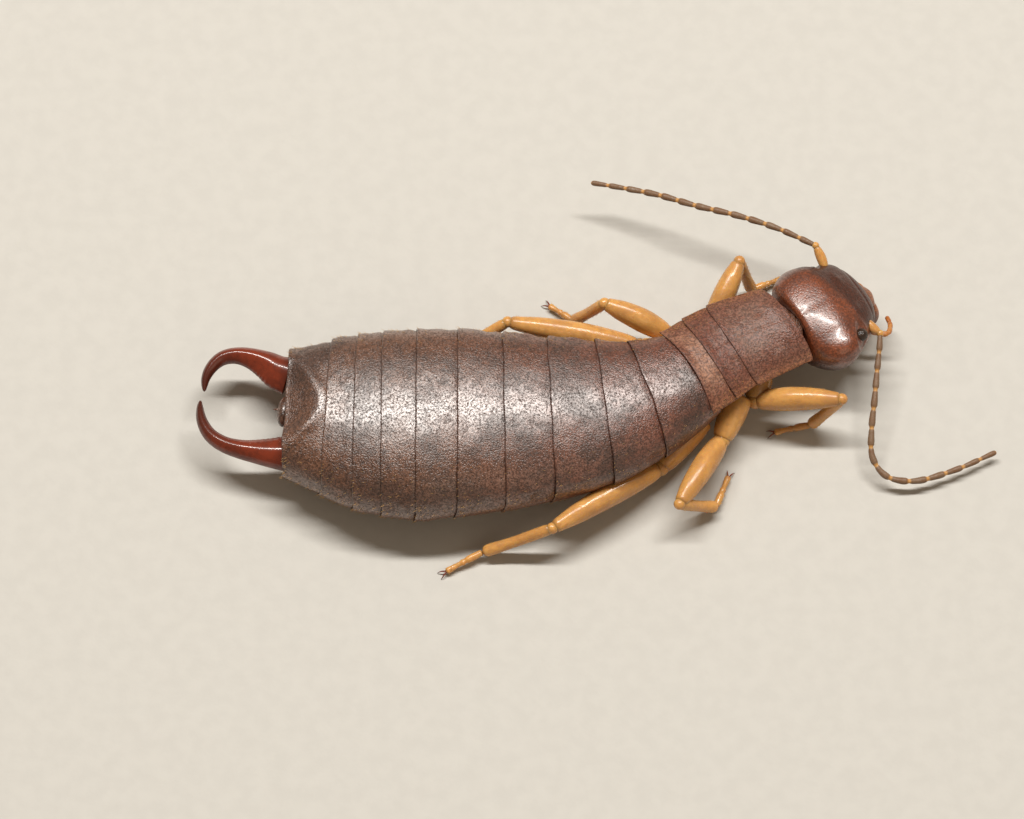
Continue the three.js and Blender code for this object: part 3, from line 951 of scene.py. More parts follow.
def forceps_material():
    """Glossy maroon arms that darken to their tips."""
    material, tree, shader, place, across = new_material(
        "Glossy Forceps", IOR=1.5, Specular_IOR_Level=0.4, Coat_Roughness=0.08
    )
    parts = add(tree, "ShaderNodeSeparateXYZ", {"Vector": across}).outputs
    mottled = group_of(
        tree,
        "Mottled Shell",
        {
            "Vector": place,
            "Scale": 1500.0,
            "Main": colour("forceps"),
            "Cloud": colour("forceps_tip"),
            "Amount": 0.5,
        },
    )
    tip = span(tree, parts["Y"], 0.45, 0.85)
    paint = blend(tree, math_node(tree, "MULTIPLY", tip, 0.85), mottled["Color"], colour("forceps_tip"))
    tree.links.new(paint, shader.inputs["Base Color"])
    tree.links.new(span(tree, mottled["Clouds"], 0.0, 1.0, 0.6, 0.3), shader.inputs["Coat Weight"])
    pitted = group_of(
        tree,
        "Pitted Shell",
        {"Vector": place, "Scale": 16000.0, "Pit Share": 0.4, "Grain": 0.25},
    )
    rough = math_node(tree, "ADD", math_node(tree, "MULTIPLY", mottled["Clouds"], 0.1), 0.24)
    tree.links.new(rough, shader.inputs["Roughness"])
    relief(tree, shader, pitted["Height"], 0.000003)
    return material


def bristle_material():
    """Gold bristles, browner at their roots."""
    material = bpy.data.materials.new("Gold Bristles")
    material.use_nodes = True
    tree = material.node_tree
    shader = tree.nodes["Principled BSDF"]
    shader.inputs["Roughness"].default_value = 0.35
    place = add(tree, "ShaderNodeTexCoord").outputs["Object"]
    mottled = group_of(
        tree,
        "Mottled Shell",
        {"Vector": place, "Scale": 2500.0, "Main": colour("bristle"), "Cloud": colour("leg"), "Amount": 0.7},
    )
    tree.links.new(mottled["Color"], shader.inputs["Base Color"])
    return material


def floor_material():
    """Pale matt floor with a barely visible grain."""
    material, tree, shader, place, _ = new_material("Pale Floor", Specular_IOR_Level=0.2)
    grain = add(tree, "ShaderNodeTexNoise", {"Vector": place, "Scale": 2600.0, "Detail": 4.0})
    tone = span(tree, grain.outputs["Fac"], 0.3, 0.7)
    r, g, b, _ = colour("floor")
    tree.links.new(blend(tree, tone, (r * 0.96, g * 0.96, b * 0.96, 1), (r, g, b, 1)), shader.inputs["Base Color"])
    shader.inputs["Roughness"].default_value = 0.8
    relief(tree, shader, grain.outputs["Fac"], 0.000008)
    return material


def material_of(name, maker, *facts, **more):
    """A material that several pieces share, made the first time it is asked for."""
    return bpy.data.materials.get(name) or maker(*facts, **more)


def leg_material():
    return material_of("Amber Leg", clear_shell_material, "Amber Leg", "leg", "flange", "leg_dark")


def mouth_material():
    return material_of(
        "Amber Mouth", clear_shell_material, "Amber Mouth", "mouth", "leg", "leg_dark", gloss=0.25
    )


# The abdomen

PLATE_REACH = math.radians(112)
OVERLAP = 0.15


def plate_lift(v):
    """How far a plate stands above the trunk's line, from its rear lip to its hidden front."""
    lip = sizes().plate_lip / MM
    return lip * (1 - ease(0.0, 0.75, v)) - 0.045 * ease(0.7, 1.0, v) + 0.01 * swell(v, 0.02, 0.03)


def tail_relief(side, count):
    """The last plate's rear hollow with a raised rim on three sides of it."""
    half = 0.9 - 0.42 * ease(0.05, 0.8, count)
    ring = (abs(side / half) ** 2.6 + abs(count / 0.72) ** 2.6) ** (1 / 2.6)
    inside = 1 - ease(0.58, 1.12, ring)
    fall = 0.03 + 0.16 * (1 - ease(-0.1, 0.75, count))
    rim = 0.06 * swell(ring, 1.18, 0.34)
    return rim - inside * fall


def plate_shape(plate):
    """The outer face of one back plate, from its rear lip to the part that the next one hides."""
    front_cover = 0.42 if plate == WAIST - 1 else OVERLAP
    corner = 0.12 if 1 <= plate <= 7 else 0.04

    def shape(u, v):
        turn = (u - 0.5) * 2 * PLATE_REACH
        across = abs(u - 0.5) * 2
        rear = plate - 0.02 - corner * ease(0.68, 0.92, across)
        rear += 0.03 * noise.noise(Vector((turn * 2.6, plate * 5.3, 0.0)))
        if plate == 0:
            rear += 0.05 + 0.11 * math.sin(turn)
        count = rear + (plate + 1 + front_cover - rear) * v
        lift = plate_lift(v)
        if plate == 0:
            wide, _ = profile(TRUNK_SIZES, max(count, 0.0))
            lift += tail_relief(squared(math.sin(turn), SQUARE) * wide, count) * (abs(turn) < math.pi / 2)
        spot = back_at(count, turn, lift)
        lift += 0.012 * noise.noise(spot * 1.7) + 0.006 * noise.noise(spot * 5.0)
        flank = swell(across, 0.72, 0.1)
        lift += 0.045 * flank * noise.noise(Vector((spot.x * 4.5, plate * 3.0, spot.z * 2.0)))
        if plate in (6, 7):
            lift += 0.05 * swell(across, 0.6, 0.05) * swell(v, 0.45, 0.16)
        return back_at(count, turn, lift)

    return shape


def core_shape(u, v):
    """The soft body inside the back plates, with the belly's own overlapping plates."""
    start, end = 0.03, WAIST + 0.1
    count = start + (end - start) * v
    part = count - math.floor(count)
    lift = -0.075 + 0.04 * (1 - part) ** 2
    if math.cos(u * math.tau) > 0:
        lift -= 0.34 * (1 - ease(0.6, 1.5, count))
    closing = min(v, 1 - v) / 0.02
    round_off = math.sqrt(max(1 - (1 - min(closing, 1.0)) ** 2, 0.0))
    turn = u * math.tau
    spot = back_at(count, turn, lift)
    middle = TRUNK.spot(count)
    spot = middle + (spot - middle) * round_off
    spot.z = max(spot.z, FLOOR_CLEAR)
    return spot


def build_abdomen():
    dark = material_of("Dark Pitted Plate", plate_material)
    flank = material_of("Creased Flank", belly_material)
    core = bmesh.new()
    skin(core, 84, 150, core_shape)
    finish_piece(
        core,
        "belly",
        ["abdomen_rear", "abdomen_middle", "abdomen_front"],
        [flank],
    )
    for plate in range(WAIST):
        shell = bmesh.new()
        around, along = (112, 30) if plate == 0 else (84, 18)
        skin(shell, around, along, plate_shape(plate))
        face_out(shell, around, along)
        nodes = ["abdomen_tip"] if plate == 0 else []
        finish_piece(
            shell,
            f"back_plate_{WAIST - plate}",
            nodes,
            [dark],
            wall=sizes().plate_wall,
            levels=1,
            closed=False,
        )


def build_tail():
    """The small lobe between the forceps, with a short spine."""
    flank = material_of("Dark Pitted Plate", plate_material)
    lobe = bmesh.new()
    middle, forward, _, _ = trunk_frame(0)
    turn = Matrix((forward, forward.cross(UP) * -1, UP)).transposed()
    ball(lobe, middle - forward * 0.02, turn, (0.17, 0.36, 0.26), 28, 18)
    spine = Line([
        middle - forward * 0.1 + UP * 0.08, middle - forward * 0.19 + UP * 0.1, middle - forward * 0.27 + UP * 0.07
    ])
    tube(lobe, spine, lambda share: (0.035 * (1 - 0.7 * share), 0.035 * (1 - 0.7 * share)), 10, 12)
    finish_piece(lobe, "pygidium_lobe", ["pygidium"], [flank], levels=1)


FORCEPS_PROFILE = [
    (0.0, 0.42, 0.32), (0.1, 0.36, 0.31), (0.2, 0.3, 0.28), (0.32, 0.24, 0.25), (0.45, 0.2, 0.22),
    (0.62, 0.17, 0.19), (0.8, 0.13, 0.14), (0.93, 0.08, 0.085), (1.0, 0.03, 0.03)
]


def build_forceps():
    gloss = material_of("Glossy Forceps", forceps_material)
    for name, points in FORCEPS.items():
        line = Line(points)
        inner = 1 if name == "forceps_right" else -1

        def shape(u, v, line=line, inner=inner):
            share = 0.5 * v + 0.5 * (1 - math.cos(math.pi * v)) / 2
            wide, high = profile(FORCEPS_PROFILE, share)
            near = min(share / 0.02, (1 - share) / 0.02, 1.0)
            blunt = math.sqrt(max(1 - (1 - near) ** 2, 0.0))
            turn = u * math.tau
            facing = max(math.sin(turn) * inner, 0.0) ** 3
            teeth = abs(math.sin(share * 75)) * (1 - ease(0.2, 0.4, share)) * ease(0.05, 0.09, share)
            flare = 0.11 if inner < 0 else 0.03
            reach = wide + facing * (flare * (1 - ease(0.22, 0.6, share)) + 0.018 * teeth)
            ridge = 1 + 0.1 * max(math.cos(turn), 0.0) ** 4
            section = line.at(share)
            return on_section(section, turn, reach * blunt, high * ridge * blunt, high * blunt, 1.9)

        arm = bmesh.new()
        skin(arm, 40, 110, shape)
        finish_piece(arm, f"{name}_arm", [name], [gloss], levels=1)


# The thorax

# Each shield: its rear and front joints, how far it stands out sideways and up, how much its sides
# drop, how far its rear edge bows forward at its middle, and how round its corners are.
SHIELDS = {
    "rear_shield": {
        "nodes": ["metathorax"], "rear": 9.98, "front": 11.25, "out": 0.03, "up": 0.03,
        "drop": 0.62, "rear_bay": 0.16, "corner": 0.03,
    },
    "middle_shield": {
        "nodes": ["mesothorax"], "rear": 10.98, "front": 12.2, "out": 0.05, "up": 0.05,
        "drop": 0.62, "rear_bay": 0.0, "corner": 0.08,
    },
    "neck_shield": {
        "nodes": ["prothorax"], "rear": 11.95, "front": 13.1, "out": 0.09, "up": 0.07,
        "drop": 0.7, "rear_bay": -0.03, "corner": 0.09,
    },
}


def shield_shape(facts):
    def shape(u, v):
        side = (u - 0.5) * 2
        across = abs(side)
        rear = facts["rear"] + facts["rear_bay"] * (1 - across**2) + facts["corner"] * across**5
        front = facts["front"] - facts["corner"] * 0.9 * across**5
        count = rear + (front - rear) * v
        middle, _, right, over = trunk_frame(count)
        wide, high = profile(TRUNK_SIZES, min(count, NECK))
        lift = facts["up"] + 0.03 * (1 - ease(0.0, 0.3, v)) - 0.04 * ease(0.8, 1.0, v)
        flange = ease(0.84, 1.0, across)
        arch = high * (1 - facts["drop"] * across**2.4) + lift + 0.03 * flange
        groove = -0.013 * swell(side, 0, 0.025) * ease(0.05, 0.25, v) * (1 - ease(0.7, 0.95, v))
        dents = -0.022 * swell(across, 0.42, 0.16) * swell(v, 0.62, 0.12)
        swelling = 0.03 * swell(across, 0.4, 0.25) * swell(v, 0.82, 0.12)
        spot = middle + right * side * (wide + facts["out"])
        rough = 0.013 * noise.noise(spot * 2.3) + 0.008 * noise.noise(spot * 6.0)
        bulge = squared(side, 1.85) if side else 0.0
        reach = (0.55 * side + 0.45 * bulge) * (wide + facts["out"])
        return middle + right * reach + over * (arch + groove + dents + swelling + rough)

    return shape


def thorax_core_shape(u, v):
    """The thorax's flanks and underside, with folds between their firmer parts."""
    start, end = WAIST - 0.2, NECK + 0.02
    count = start + (end - start) * v
    turn = u * math.tau
    closing = min(v, 1 - v) / 0.04
    round_off = math.sqrt(max(1 - (1 - min(closing, 1.0)) ** 2, 0.0))
    spot = back_at(count, turn, -0.09, 0.24)
    folds = 0.035 * noise.noise(Vector((spot.x * 2.6, spot.y * 2.6, spot.z * 3.4)))
    seam = -0.05 * swell(count - round(count), 0.0, 0.07)
    spot = back_at(count, turn, -0.09 + folds + seam, 0.24)
    middle = TRUNK.spot(count)
    spot = middle + (spot - middle) * round_off
    spot.z = max(spot.z, FLOOR_CLEAR)
    return spot


def build_thorax():
    mauve = material_of("Mauve Thorax Shield", shield_material)
    flank = material_of("Creased Flank", belly_material)
    core = bmesh.new()
    skin(core, 84, 90, thorax_core_shape)
    finish_piece(core, "thorax_flanks", [], [flank])
    finishes = {
        "rear_shield": material_of("Pale Rear Shield", shield_material, "Pale Rear Shield", "rear", "plate_front"),
        "middle_shield": material_of(
            "Red Middle Shield", shield_material, "Red Middle Shield", "plate_front", "shield"
        ),
        "neck_shield": mauve,
    }
    for name, facts in SHIELDS.items():
        shell = bmesh.new()
        skin(shell, 80, 30, shield_shape(facts))
        face_out(shell, 80, 30)
        finish_piece(
            shell, name, facts["nodes"], [finishes[name]], sizes().plate_wall, 1, False
        )
    neck = bmesh.new()
    throat = Line([TRUNK.spot(12.85), TRUNK.spot(13) + Vector((0.12, 0.05, -0.04)), on_head(-0.5, 0, -0.08)])
    tube(
        neck,
        throat,
        lambda share: (0.66 + 0.015 * math.sin(share * 30), 0.36 + 0.01 * math.sin(share * 30)),
        48,
        40,
        cap=0.02,
    )
    finish_piece(neck, "neck", [], [material_of("Mauve Thorax Shield", shield_material)])


# The head

HEAD_TABLE = [(row, *section) for row, section in enumerate(HEAD_SECTIONS)]


def seam_depth(along, side):
    """The fine Y-shaped seam on the crown: one line from the nape that forks before the eyes."""
    stem = swell(side, 0.0, 0.022) * (1 - ease(-0.02, 0.1, along))
    fork = abs(side) - max(along - 0.04, 0.0) * 1.15
    arms = swell(fork, 0.0, 0.024) * ease(0.02, 0.12, along) * (1 - ease(0.45, 0.58, along))
    return max(stem, arms)


def head_surface(u, v, lift=0.0):
    along, wide, top, low = profile(HEAD_TABLE, v * (len(HEAD_TABLE) - 1))
    turn = u * math.tau
    height = squared(math.cos(turn), HEAD_SQUARE)
    if math.sin(turn) < 0:
        wide *= 1 + 0.24 * swell(along, 0.86, 0.3)
    side = -squared(math.sin(turn), HEAD_SQUARE) * wide
    upper = ease(-0.2, 0.35, height)
    nape = ease(-0.5, -0.7, along)
    along += 0.035 * swell(side, 0.0, 0.4) * nape
    relief_here = lift
    relief_here += 0.11 * side * upper * (1 - ease(0.75, 1.3, abs(side)))
    relief_here -= 0.011 * seam_depth(along, side) * upper
    relief_here += 0.008 * swell(abs(side), 0.6, 0.35) * swell(along, -0.2, 0.3) * upper
    relief_here -= 0.012 * swell(side, 0.0, 0.2) * swell(along, 0.5, 0.2) * upper
    relief_here -= 0.02 * swell(along, 0.95, 0.03) * upper
    relief_here += 0.02 * swell(abs(side), 0.42, 0.13) * swell(along, 0.58, 0.1) * upper
    eye_gap = math.hypot(along - EYE["along"], (height * top - EYE["up"]) * 0.9)
    if abs(side) > 0.55:
        relief_here += 0.02 * swell(eye_gap, 0.22, 0.04) - 0.03 * swell(eye_gap, 0.16, 0.05)
    middle = on_head(along, 0, 0)
    section = frame_of(middle, HEAD_TURN @ Vector((1, 0, 0)), -HEAD_ROLL)
    spot = on_section(section, turn, wide, top, low, HEAD_SQUARE, 0.12)
    rough = 0.008 * noise.noise(spot * 2.2)
    grow = relief_here + rough
    if wide < 1e-6:
        return middle
    return on_section(section, turn, wide + grow, top + grow, low + grow, HEAD_SQUARE, 0.12)


def build_head():
    red = material_of("Glossy Red Brown Head", head_material)
    black = material_of("Faceted Black Eye", eye_material)
    capsule = bmesh.new()
    skin(capsule, 144, 112, head_surface)
    finish_piece(capsule, "head_capsule", ["head"], [red], levels=1)
    for name, hand in (("eye_left", 1), ("eye_right", -1)):
        eye = bmesh.new()
        middle = on_head(EYE["along"], hand * EYE["side"], EYE["up"])
        ball(eye, middle, HEAD_TURN, (EYE["long"], EYE["deep"], EYE["tall"]), 40, 28)
        finish_piece(eye, f"{name}_dome", [name], [black])


MANDIBLE = [(0.7, 0.46, -0.2), (0.98, 0.48, -0.22), (1.22, 0.36, -0.25), (1.38, 0.1, -0.27)]
INNER_PALP = [(0.9, 0.22, -0.5), (1.1, 0.34, -0.55), (1.3, 0.3, -0.6), (1.42, 0.2, -0.64)]


def jointed(share, radius, parts):
    """A limb's thickness, pinched at each of its joints and at both of its ends."""
    part = share * parts
    near = abs(part - round(part))
    pinch = 1 - 0.35 * swell(near, 0.0, 0.09)
    return radius * pinch


def build_mouth():
    amber = mouth_material()
    red = material_of("Glossy Red Brown Head", head_material)
    jaws = bmesh.new()

    def lip(u, v):
        side = (u - 0.5) * 2
        along = 1.04 + 0.34 * v * (1 - 0.12 * side**2)
        reach = 0.08 + side * (0.44 - 0.1 * v) * math.sqrt(max(1 - (max(v - 0.6, 0) / 0.4) ** 2 * 0.6, 0.0))
        up = 0.17 - 0.17 * v**1.5 - 0.1 * side**2
        return on_head(along, reach, up)

    skin(jaws, 24, 14, lip, 1)
    face_out(jaws, 24, 14)
    bmesh.ops.solidify(jaws, geom=list(jaws.faces), thickness=0.07)
    for hand in (1, -1):
        line = Line([on_head(along, hand * side, up) for along, side, up in MANDIBLE])
        tube(
            jaws,
            line,
            lambda share: (0.17 * (1 - 0.72 * share**1.6), 0.19 * (1 - 0.62 * share**1.6)),
            24,
            28,
            material=1,
        )
        inner = Line([on_head(along, hand * side, up) for along, side, up in INNER_PALP])
        tube(jaws, inner, lambda share: (jointed(share, 0.07, 3),) * 2, 16, 36, cap=0.08)
        ball(jaws, on_head(0.86, hand * 0.3, -0.42), HEAD_TURN, (0.34, 0.22, 0.2), 28, 18)
    ball(jaws, on_head(0.82, 0, -0.48), HEAD_TURN, (0.45, 0.34, 0.2), 28, 18)
    finish_piece(jaws, "jaws", ["mouthparts"], [amber, red], levels=1)
    for name, hand in (("palp_left", 1), ("palp_right", -1)):
        palp = bmesh.new()
        line = Line([on_head(along, hand * side, up) for along, side, up in PALP_LINE])
        tube(palp, line, lambda share: (jointed(share, 0.07 - 0.015 * share, 5),) * 2, 18, 64, cap=0.05)
        finish_piece(palp, f"{name}_feeler", [name], [amber], levels=1)


# Feelers

BEAD_PROFILE = [(0.0, 0.5), (0.1, 0.76), (0.35, 0.86), (0.72, 1.0), (0.92, 0.86), (1.0, 0.5)]


def build_feeler(name, beads):
    facts = FEELERS[name]
    radius = sizes().feeler_width / 2 / MM
    feeler = bmesh.new()
    line = Line(facts["line"])
    rows = beads * 10

    def beaded(u, v):
        bead = min(int(v * beads), beads - 1)
        (full,) = profile(BEAD_PROFILE, v * beads - bead)
        size = radius * full * (0.9 + 0.1 * ease(0.0, 0.3, v)) * (1 - 0.22 * ease(0.7, 1.0, v))
        if v in (0.0, 1.0):
            size = 0.0
        return on_section(line.at(v), u * math.tau, size, size)

    skin(feeler, 14, rows, beaded)
    root = on_head(*facts["socket"])
    first = Vector(facts["line"][0])
    bow = (first - root).cross(UP).normalized() * 0.03
    scape = Line([root, root.lerp(first, 0.5) + bow, first])
    tube(feeler, scape, lambda share: (0.062 + 0.055 * math.sin(math.pi * share**1.3),) * 2, 20, 28, 1, cap=0.1)
    ball(feeler, root, HEAD_TURN, (0.1, 0.15, 0.13), 20, 14, 1)
    ball(feeler, first, Matrix.Identity(3), (0.085, 0.085, 0.085), 16, 12, 1)
    finish_piece(
        feeler,
        f"{name}_beads",
        [f"{name}_scape", f"{name}_inner", f"{name}_outer"],
        [feeler_material(f"Beads of {name}", beads), leg_material()],
        levels=1,
    )


# Legs

COXA = [(0.0, 0.3, 0.3), (0.35, 0.33, 0.33), (0.8, 0.27, 0.26), (1.0, 0.2, 0.2)]
FEMUR = [
    (0.0, 0.17, 0.17), (0.12, 0.23, 0.24), (0.4, 0.27, 0.3), (0.75, 0.23, 0.25), (0.92, 0.17, 0.17), (1.0, 0.14, 0.14)
]
TIBIA = [(0.0, 0.11, 0.12), (0.12, 0.13, 0.14), (0.6, 0.125, 0.13), (0.92, 0.14, 0.14), (1.0, 0.11, 0.11)]
TARSUS = [
    (0.0, 0.07, 0.07), (0.25, 0.085, 0.085), (0.42, 0.075, 0.08), (0.47, 0.055, 0.055), (0.53, 0.08, 0.075),
    (0.6, 0.055, 0.055), (0.75, 0.062, 0.06), (0.95, 0.078, 0.072), (1.0, 0.06, 0.05)
]


def leg_lines(points):
    """The leg's four middle lines, each with a slight bow."""
    root, hip, knee, ankle, toe = (Vector(point) for point in points)
    bowed = []
    for start, end, bow in ((root, hip, 0.0), (hip, knee, 0.07), (knee, ankle, -0.04), (ankle, toe, 0.02)):
        bowed.append(Line([start, start.lerp(end, 0.5) + UP * bow, end]))
    return bowed


def build_leg(name, points):
    leg = bmesh.new()
    coxa, femur, tibia, tarsus = leg_lines(points)
    for line, table, around, along in (
        (coxa, COXA, 28, 22), (femur, FEMUR, 30, 40), (tibia, TIBIA, 22, 34), (tarsus, TARSUS, 16, 44)
    ):
        tube(leg, line, lambda share, table=table: profile(table, share), around, along, cap=0.05)
    hip, knee, ankle, toe = (Vector(point) for point in points[1:])
    ball(leg, hip, Matrix.Identity(3), (0.2, 0.2, 0.19), 20, 14)
    ball(leg, knee, Matrix.Identity(3), (0.135, 0.135, 0.13), 20, 14)
    ahead = (toe - ankle).normalized()
    side = ahead.cross(UP).normalized()
    for hand in (1, -1):
        claw = Line([
            toe - ahead * 0.03,
            toe + ahead * 0.09 + side * hand * 0.06 + UP * 0.005,
            toe + ahead * 0.17 + side * hand * 0.09 - UP * 0.07,
        ])
        tube(leg, claw, lambda share: (0.026 * (1 - 0.8 * share),) * 2, 8, 12, 1)
    nodes = [f"{name}_{part}" for part in ("coxa", "femur", "tibia", "tarsus")]
    claws = material_of("Glossy Forceps", forceps_material)
    finish_piece(leg, f"{name}_limb", nodes, [leg_material(), claws], levels=1)


# Bristles

PATCH = 0.003


def bristle(mesh, root, outward, lean, size, width, patch):
    """Adds one bristle that leaves its root outwards and bends over."""
    start = root - outward * width
    reach = outward * 0.7 + lean * 0.5
    side = reach.cross(UP + Vector((0.1, 0.2, 0))).normalized() * width
    over = side.cross(reach).normalized() * width

    def shape(u, v):
        place = start + reach * size * v + (lean - outward * 0.3) * size * 0.3 * v * v
        taper = (1 - v) ** 0.8
        place = place + (side * math.cos(u * math.tau) + over * math.sin(u * math.tau)) * taper
        place.z = max(place.z, FLOOR_CLEAR)
        return place

    skin(mesh, 3, 3, shape, 0, (patch, PATCH))


def outward_at(surface, u, v, middle):
    """A surface's own direction away from the body at u, v."""
    spot = surface(u, v)
    along = surface(u, min(v + 0.01, 1.0)) - surface(u, max(v - 0.01, 0.0))
    across = surface(u + 0.01, v) - surface(u - 0.01, v)
    outward = along.cross(across)
    if outward.length < 1e-9:
        return spot, UP.copy()
    outward.normalize()
    return spot, outward if outward.dot(spot - middle) > 0 else -outward


def scatter(mesh, chance, surface, spots, lean, size, width, tile, middle_of):
    """Adds a bristle at each of the spots (u, v), with its map patch in that surface's tile."""
    for u, v in spots:
        root, outward = outward_at(surface, u, v, middle_of(v))
        tilt = Vector((chance.uniform(-0.3, 0.3), chance.uniform(-0.3, 0.3), chance.uniform(-0.15, 0.15)))
        grown = size * chance.uniform(0.55, 1.25)
        patch = (tile[0] + u * tile[2], tile[1] + v * tile[2])
        bristle(mesh, root, outward, lean + tilt, grown, width, patch)


def build_bristles():
    chance = random.Random(11)
    gold = material_of("Gold Bristles", bristle_material)
    size = sizes().bristle / MM
    width = sizes().bristle_width / 2 / MM
    mesh = bmesh.new()
    for plate in range(WAIST):
        surface = plate_shape(plate)
        tail = -trunk_frame(plate + 0.5)[1]
        spots = []
        for _ in range(100):
            edge = chance.random() ** 0.6
            side = chance.choice((-1, 1))
            u = 0.5 + side * 0.5 * (0.3 + 0.7 * edge)
            v = abs(chance.gauss(0.0, 0.2)) if chance.random() < 0.5 else chance.uniform(0, 0.8)
            spots.append((min(max(u, 0.02), 0.98), min(max(v, 0.01), 0.8)))
        tile = (0.1 * (plate % 5), 0.1 * (plate // 5), 0.095)
        scatter(
            mesh, chance, surface, spots, tail * 1.1, size, width, tile,
            lambda v, plate=plate: TRUNK.spot(plate + v),
        )
    for row, (name, facts) in enumerate(SHIELDS.items()):
        surface = shield_shape(facts)
        tail = -trunk_frame(facts["rear"] + 0.5)[1]
        spots = []
        for _ in range(110):
            side = chance.choice((-1, 1)) * (1 - abs(chance.gauss(0, 0.25)))
            spots.append((min(max(0.5 + side * 0.5, 0.015), 0.985), chance.uniform(0.02, 0.98)))
        middle = TRUNK.spot(facts["rear"] + 0.5) - UP * 0.3
        scatter(
            mesh, chance, surface, spots, tail, size * 0.7, width, (0.1 * row, 0.25, 0.095), lambda v, m=middle: m
        )
    for row, points in enumerate(LEGS.values()):
        for part, (line, table) in enumerate(zip(leg_lines(points)[1:], (FEMUR, TIBIA, TARSUS))):

            def surface(u, v, line=line, table=table):
                wide, high = profile(table, v)
                return on_section(line.at(v), u * math.tau, wide, high)

            spots = [(chance.random(), chance.uniform(0.08, 0.97)) for _ in range(70 if part else 50)]
            tile = (0.1 * row, 0.4 + 0.1 * part, 0.095)
            ahead = (line.at(1)[0] - line.at(0)[0]).normalized()
            scatter(
                mesh, chance, surface, spots, ahead, size * 0.75, width * 0.9, tile,
                lambda v, line=line: line.at(v)[0],
            )
    finish_piece(mesh, "bristles", [], [gold], uv="OFBake")


# The stage

TARGET = Vector((0, 0, 1.3))
CAMERA_ELEVATION = math.radians(68)
CAMERA_DISTANCE = 0.1152
LENS = 180


def direction(elevation, turn=0.0):
    """A direction from its height above the near horizon, going over the top past 90 degrees."""
    return Vector((math.sin(turn) * 1.0, -math.cos(elevation), math.sin(elevation))).normalized()


def add_light(name, elevation, turn, distance, size, energy, tone):
    """A soft box of a width and depth, at a distance from the animal's middle."""
    data = bpy.data.lights.new(name, "AREA")
    data.shape = "RECTANGLE"
    data.size, data.size_y = size
    data.energy = energy
    data.color = tone
    light = bpy.data.objects.new(name, data)
    back = direction(math.radians(elevation), math.radians(turn))
    light.location = (TARGET + SHIFT) * MM + back * distance
    light.rotation_mode = "QUATERNION"
    light.rotation_quaternion = (-back).to_track_quat("-Z", "Y")
    bpy.context.scene.collection.objects.link(light)


def build_stage():
    scene = bpy.context.scene
    ground = bmesh.new()
    bmesh.ops.create_grid(ground, x_segments=24, y_segments=24, size=0.3)
    data = bpy.data.meshes.new("floor")
    ground.to_mesh(data)
    ground.free()
    floor = bpy.data.objects.new("floor", data)
    data.uv_layers.new(name="UVMap")
    data.materials.append(material_of("Pale Floor", floor_material))
    scene.collection.objects.link(floor)

    camera_data = bpy.data.cameras.new("camera")
    camera_data.lens = LENS
    camera_data.sensor_width = 36
    camera_data.clip_start = 0.001
    camera_data.clip_end = 3
    camera = bpy.data.objects.new("camera", camera_data)
    back = direction(CAMERA_ELEVATION)
    camera.location = (TARGET + SHIFT) * MM + back * CAMERA_DISTANCE
    camera.rotation_mode = "QUATERNION"
    camera.rotation_quaternion = (-back).to_track_quat("-Z", "Y")
    scene.collection.objects.link(camera)
    scene.camera = camera

    add_light("key", 110, 0, 0.2, (0.19, 0.015), 0.54, (1.0, 0.97, 0.92))
    add_light("fill", 45, 30, 0.3, (0.2, 0.2), 0.09, (1.0, 0.84, 0.66))
    world = bpy.data.worlds.new("Studio")
    world.use_nodes = True
    background = world.node_tree.nodes["Background"]
    background.inputs["Color"].default_value = (1.0, 0.82, 0.62, 1.0)
    background.inputs["Strength"].default_value = 0.2
    scene.world = world
    scene.view_settings.view_transform = "Standard"


# Operators, panel and the run


class EARWIG_OT_abdomen(bpy.types.Operator):
    """Builds the ten back plates and the belly"""

    bl_idname = "earwig.abdomen"
    bl_label = "Build Abdomen"

    def execute(self, context):
        build_abdomen()
        return {"FINISHED"}


class EARWIG_OT_tail(bpy.types.Operator):
    """Builds the lobe at the tail and the two arms of the forceps"""

    bl_idname = "earwig.tail"
    bl_label = "Build Forceps"

    def execute(self, context):
        build_tail()
        build_forceps()
        return {"FINISHED"}


class EARWIG_OT_thorax(bpy.types.Operator):
    """Builds the three thorax shields, the flanks and the neck"""

    bl_idname = "earwig.thorax"
    bl_label = "Build Thorax"

    def execute(self, context):
        build_thorax()
        return {"FINISHED"}


class EARWIG_OT_head(bpy.types.Operator):
    """Builds the head and its eyes"""

    bl_idname = "earwig.head"
    bl_label = "Build Head"

    def execute(self, context):
        build_head()
        return {"FINISHED"}


class EARWIG_OT_mouth(bpy.types.Operator):
    """Builds the lip, jaws and palps"""

    bl_idname = "earwig.mouth"
    bl_label = "Build Mouthparts"

    def execute(self, context):
        build_mouth()
        return {"FINISHED"}


class EARWIG_OT_feelers(bpy.types.Operator):
    """Builds the two beaded feelers"""

    bl_idname = "earwig.feelers"
    bl_label = "Build Feelers"

    def execute(self, context):
        build_feeler("antenna_right", sizes().right_beads)
        build_feeler("antenna_left", sizes().left_beads)
        return {"FINISHED"}


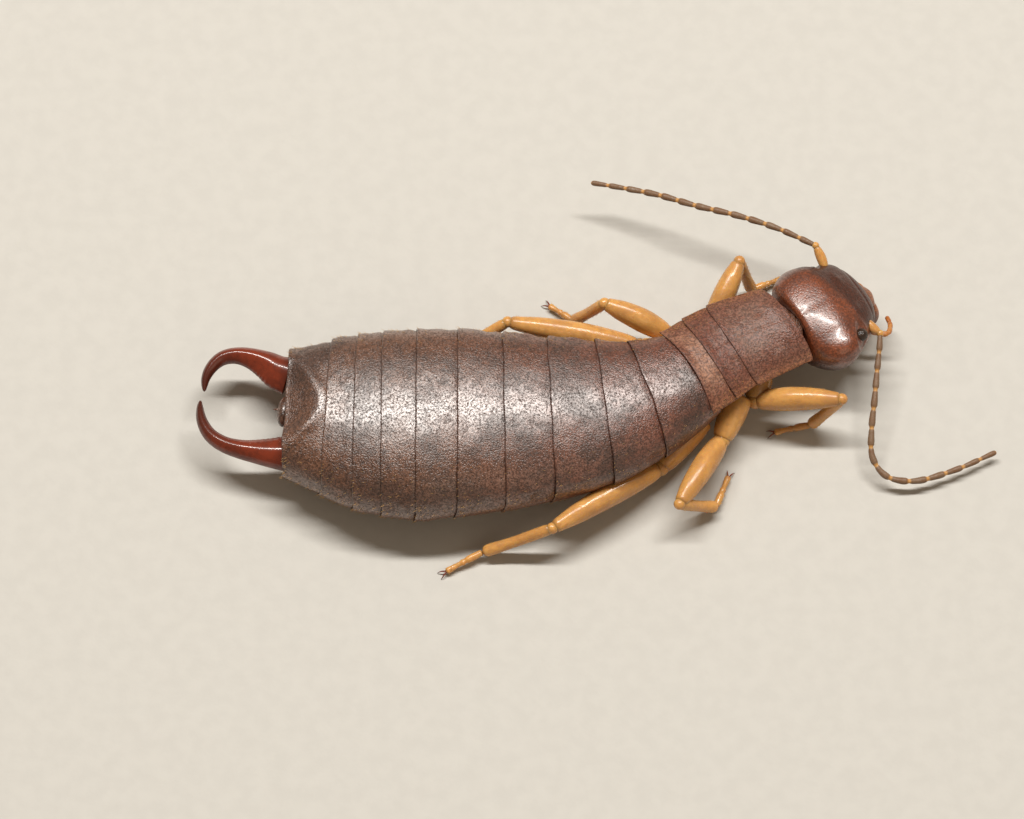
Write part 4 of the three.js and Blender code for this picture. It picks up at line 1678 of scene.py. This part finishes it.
class EARWIG_OT_legs(bpy.types.Operator):
    """Builds the six legs with their claws"""

    bl_idname = "earwig.legs"
    bl_label = "Build Legs"

    def execute(self, context):
        for name, points in LEGS.items():
            build_leg(name, points)
        return {"FINISHED"}


class EARWIG_OT_bristles(bpy.types.Operator):
    """Builds the bristles of the plates, shields and legs"""

    bl_idname = "earwig.bristles"
    bl_label = "Build Bristles"

    def execute(self, context):
        build_bristles()
        return {"FINISHED"}


class EARWIG_OT_stage(bpy.types.Operator):
    """Builds the floor, the lights and the camera"""

    bl_idname = "earwig.stage"
    bl_label = "Build Stage"

    def execute(self, context):
        build_stage()
        return {"FINISHED"}


OPERATORS = (
    EARWIG_OT_abdomen,
    EARWIG_OT_tail,
    EARWIG_OT_thorax,
    EARWIG_OT_head,
    EARWIG_OT_mouth,
    EARWIG_OT_feelers,
    EARWIG_OT_legs,
    EARWIG_OT_bristles,
    EARWIG_OT_stage,
)


class EARWIG_PT_panel(bpy.types.Panel):
    """Lists the earwig's sizes, colours and building steps"""

    bl_idname = "EARWIG_PT_panel"
    bl_label = "Wingless Earwig"
    bl_space_type = "VIEW_3D"
    bl_region_type = "UI"
    bl_category = "Earwig"

    def draw(self, context):
        layout = self.layout
        for title, group in (("Sizes", sizes()), ("Colours", colours())):
            box = layout.box()
            box.label(text=title)
            for name in group.__annotations__:
                box.prop(group, name)
        for operator in OPERATORS:
            layout.operator(operator.bl_idname)


CLASSES = (EarwigSizes, EarwigColours, *OPERATORS, EARWIG_PT_panel)


def register():
    for kind in CLASSES:
        bpy.utils.register_class(kind)
    bpy.types.Scene.earwig_sizes = bpy.props.PointerProperty(type=EarwigSizes)
    bpy.types.Scene.earwig_colours = bpy.props.PointerProperty(type=EarwigColours)


def unregister():
    del bpy.types.Scene.earwig_colours
    del bpy.types.Scene.earwig_sizes
    for kind in reversed(CLASSES):
        bpy.utils.unregister_class(kind)


def main():
    register()
    for step in OPERATORS:
        group, name = step.bl_idname.split(".")
        getattr(getattr(bpy.ops, group), name)()
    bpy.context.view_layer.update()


if __name__ == "__main__":
    main()
